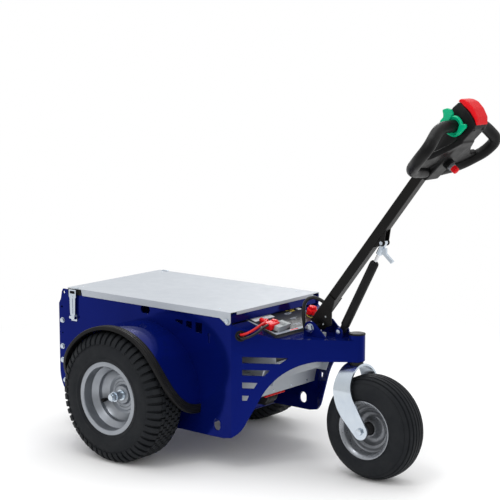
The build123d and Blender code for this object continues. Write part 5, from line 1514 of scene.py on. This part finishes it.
@dataclass
class Underside:
    """Drive unit, drawbar bracket and what shows in the open bay under the nose."""

    castings: tuple[tuple[str, float, Finish], ...] = (
        ("drive_unit", 0.0015, DARK_STEEL), ("hitch", 0.0014, BLACK_PAINT))
    bolt: Bolt = Bolt(0.0075, 0.005, 0.0095)
    wall_at: float = -0.125
    wall_top: float = 0.255
    motor: tuple[float, float, float] = (-0.088, 0.128, 0.148)
    can: Profile = (
        (0.0, 0.0), (0.0215, 0.0), (0.0240, 0.0020), (0.0240, 0.0120), (0.0228, 0.0132), (0.0228, 0.0160),
        (0.0240, 0.0172), (0.0240, 0.0560), (0.0215, 0.0585), (0.0120, 0.0590), (0.0115, 0.0640), (0.0, 0.0640))

    def build(self) -> None:
        """Dress the parts below and behind the body."""
        for node, edge, finish in self.castings:
            dressed(f"{node}_body", node, finish, edge, smooth=35.0)
        low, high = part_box("hitch")
        bolts = [self.bolt.shape((high[0] - 0.0075, y, z), (-1.0, 0.0, 0.0), 9.0)
                 for y in (-0.045, 0.045) for z in (low[2] + 0.014, high[2] - 0.014)]
        settle("hitch_bolts", gather(bolts), ZINC, "chassis")
        self.bay()

    def bay(self) -> None:
        """Make the cross wall behind the open front of the floor, the motor and its red leads."""
        low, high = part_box("floor_plate")
        width = high[1] - low[1]
        wall = soften(box_slab(0.003, width, self.wall_top - low[2]), 0.0008)
        settle("bay_wall", shifted(wall, self.wall_at, 0.0, low[2]), BLUE_PAINT, "chassis")
        x, y, z = self.motor
        body = shifted(lathe(self.can, 48), x, y - 0.032, z)
        foot = shifted(soften(box_slab(0.050, 0.044, 0.014), 0.002), x - 0.014, y, z - 0.030)
        bracket = shifted(soften(box_slab(0.034, 0.050, 0.020), 0.002), x - 0.021, y, z - 0.008)
        settle("pump_motor", gather([body, foot, bracket]), DARK_STEEL, "chassis", smooth=45.0)
        bars = [shifted(soften(box_slab(0.009, 0.100, 0.007), 0.003, 3), 0.018, 0.030, 0.184),
                shifted(soften(box_slab(0.009, 0.036, 0.008), 0.003, 3), -0.030, 0.020, 0.176)]
        settle("busbar_cover", gather(bars), RED_PLASTIC, "chassis", smooth=45.0)


# ---- studio --------------------------------------------------------------------------
@dataclass
class Studio:
    """Camera, lamps, pale floor and white surroundings."""

    eye: tuple[float, float, float] = (2.8620, -3.6058, 1.3522)
    right: tuple[float, float, float] = (0.7773, 0.6291, 0.0)
    up: tuple[float, float, float] = (-0.0956, 0.1181, 0.9884)
    lens_mm: float = 108.94
    floor_half: float = 14.0
    floor_grey: float = 0.93
    floor_rough: float = 0.8
    sensor_mm: float = 36.0
    aim_height: float = 0.35
    fade: tuple[float, float] = (0.7, 2.2)
    lamps: tuple[tuple[str, tuple[float, float, float], float, float], ...] = (
        ("key_lamp", (0.4, -2.6, 3.4), 2.6, 26.0),
        ("front_lamp", (3.4, -0.6, 2.2), 2.2, 8.0),
        ("top_lamp", (-0.4, 0.6, 3.8), 3.0, 34.0),
        ("glint_lamp", (0.5, -1.7, 3.4), 0.5, 9.0),
        ("back_lamp", (-2.0, 3.0, 2.3), 0.9, 14.0),
    )
    ambient: float = 0.90
    dark_side: tuple[float, float, float] = (0.62, -0.78, 0.10)
    dark_share: float = 0.5
    dark_span: tuple[float, float] = (-0.1, 0.8)

    def set_camera(self) -> None:
        """Place the scene's camera."""
        data = bpy.data.cameras.new("camera")
        data.lens = self.lens_mm
        data.sensor_width = self.sensor_mm
        camera = bpy.data.objects.new("camera", data)
        right, up = Vector(self.right).normalized(), Vector(self.up).normalized()
        back = right.cross(up).normalized()
        turn = Matrix((right, up, back)).transposed().to_4x4()
        camera.matrix_world = Matrix.Translation(self.eye) @ turn
        bpy.context.scene.collection.objects.link(camera)
        bpy.context.scene.camera = camera

    def set_lamps(self) -> None:
        """Hang the soft lamps."""
        for name, place, size, power in self.lamps:
            data = bpy.data.lights.new(name, "AREA")
            data.shape = "DISK"
            data.size = size
            data.energy = power
            lamp = bpy.data.objects.new(name, data)
            aim = Vector((0.0, 0.0, self.aim_height)) - Vector(place)
            lamp.matrix_world = Matrix.Translation(place) @ aim.to_track_quat("-Z", "Y").to_matrix().to_4x4()
            bpy.context.scene.collection.objects.link(lamp)

    def set_world(self) -> None:
        """Surround the scene with white that shows in the background, in gloss and through glass."""
        world = bpy.data.worlds.new("studio_white")
        bpy.context.scene.world = world
        world.use_nodes = True
        tree = world.node_tree
        light, seen = tree.nodes["Background"], tree.nodes.new("ShaderNodeBackground")
        light.inputs["Color"].default_value = (1.0, 1.0, 1.0, 1.0)
        light.inputs["Strength"].default_value = self.ambient
        seen.inputs["Color"].default_value = (1.0, 1.0, 1.0, 1.0)
        tree.links.new(self.mirrored(tree, tree.nodes.new("ShaderNodeTexCoord").outputs["Generated"]),
                       seen.inputs["Strength"])
        mix = tree.nodes.new("ShaderNodeMixShader")
        tree.links.new(shown_rays(tree), mix.inputs["Fac"])
        tree.links.new(light.outputs["Background"], mix.inputs[1])
        tree.links.new(seen.outputs["Background"], mix.inputs[2])
        tree.links.new(mix.outputs["Shader"], tree.nodes["World Output"].inputs["Surface"])

    def mirrored(self, tree: bpy.types.NodeTree, towards: bpy.types.NodeSocket) -> bpy.types.NodeSocket:
        """Return the white's strength: 1 as seen, and less in a reflection of the room in front of the set.

        Args:
            tree: Nodes to add it to.
            towards: Direction that is looked in.

        Returns:
            The strength.
        """
        aligned = sum_node(tree, "ShaderNodeVectorMath", "DOT_PRODUCT", towards)
        aligned.inputs[1].default_value = self.dark_side
        loss = span(tree, aligned.outputs["Value"], self.dark_span, (0.0, -self.dark_share))
        glossy = tree.nodes.new("ShaderNodeLightPath").outputs["Is Glossy Ray"]
        strength = sum_node(tree, "ShaderNodeMath", "MULTIPLY_ADD", glossy, loss)
        strength.inputs[2].default_value = 1.0
        return strength.outputs["Value"]

    def lay_floor(self) -> None:
        """Lay the pale floor, which keeps the object's shadow and fades to white far from it."""
        shape = bmesh.new()
        bmesh.ops.create_grid(shape, x_segments=1, y_segments=1, size=self.floor_half)
        floor = new_object("studio_floor", shape)
        made = bpy.data.materials.new("pale_floor")
        made.use_nodes = True
        tree = made.node_tree
        shader = tree.nodes["Principled BSDF"]
        shader.inputs["Base Color"].default_value = (*[self.floor_grey] * 3, 1.0)
        shader.inputs["Roughness"].default_value = self.floor_rough
        shader.inputs["Specular IOR Level"].default_value = 0.0
        place = tree.nodes.new("ShaderNodeTexCoord").outputs["Object"]
        white = tree.nodes.new("ShaderNodeEmission")
        even = sum_node(tree, "ShaderNodeVectorMath", "NORMALIZE", place)
        tree.links.new(self.mirrored(tree, even.outputs["Vector"]), white.inputs["Strength"])
        far = sum_node(tree, "ShaderNodeVectorMath", "LENGTH", place)
        share = sum_node(tree, "ShaderNodeMath", "MULTIPLY", span(tree, far.outputs["Value"], self.fade, (0.0, 1.0)),
                         shown_rays(tree))
        mix = tree.nodes.new("ShaderNodeMixShader")
        tree.links.new(share.outputs["Value"], mix.inputs["Fac"])
        tree.links.new(shader.outputs["BSDF"], mix.inputs[1])
        tree.links.new(white.outputs["Emission"], mix.inputs[2])
        tree.links.new(mix.outputs["Shader"], tree.nodes["Material Output"].inputs["Surface"])
        floor.data.materials.append(made)

    def build(self) -> None:
        """Set up the lamps, the surroundings and the floor."""
        self.set_lamps()
        self.set_world()
        self.lay_floor()
        bpy.context.scene.view_settings.view_transform = "Standard"


def shown_rays(tree: bpy.types.NodeTree) -> bpy.types.NodeSocket:
    """Return 1 for what is seen directly, in a reflection or through glass, and 0 for plain light."""
    path = tree.nodes.new("ShaderNodeLightPath")
    total = path.outputs["Is Camera Ray"]
    for ray in ("Is Glossy Ray", "Is Transmission Ray"):
        add = sum_node(tree, "ShaderNodeMath", "ADD", total, path.outputs[ray])
        add.use_clamp = True
        total = add.outputs["Value"]
    return total


def main() -> None:
    """Build the studio and every sub-assembly in order."""
    logging.basicConfig(level=logging.INFO, format="%(name)s %(message)s")
    studio = Studio()
    studio.set_camera()
    wiring = Wiring()
    wiring.cords()
    studio.build()
    log.info("nodes dressed: %d", Plating().dress())
    wiring.ring()
    for side in Side:
        RearWheel(side).build()
        Fender(side).build()
        Latch(side).build()
    FrontWheel().build()
    Caster().build()
    Panels().build()
    Lid().build()
    Battery().build()
    Shaft().build()
    GasSpring().build()
    Head().build()
    Underside().build()


if __name__ == "__main__":
    main()
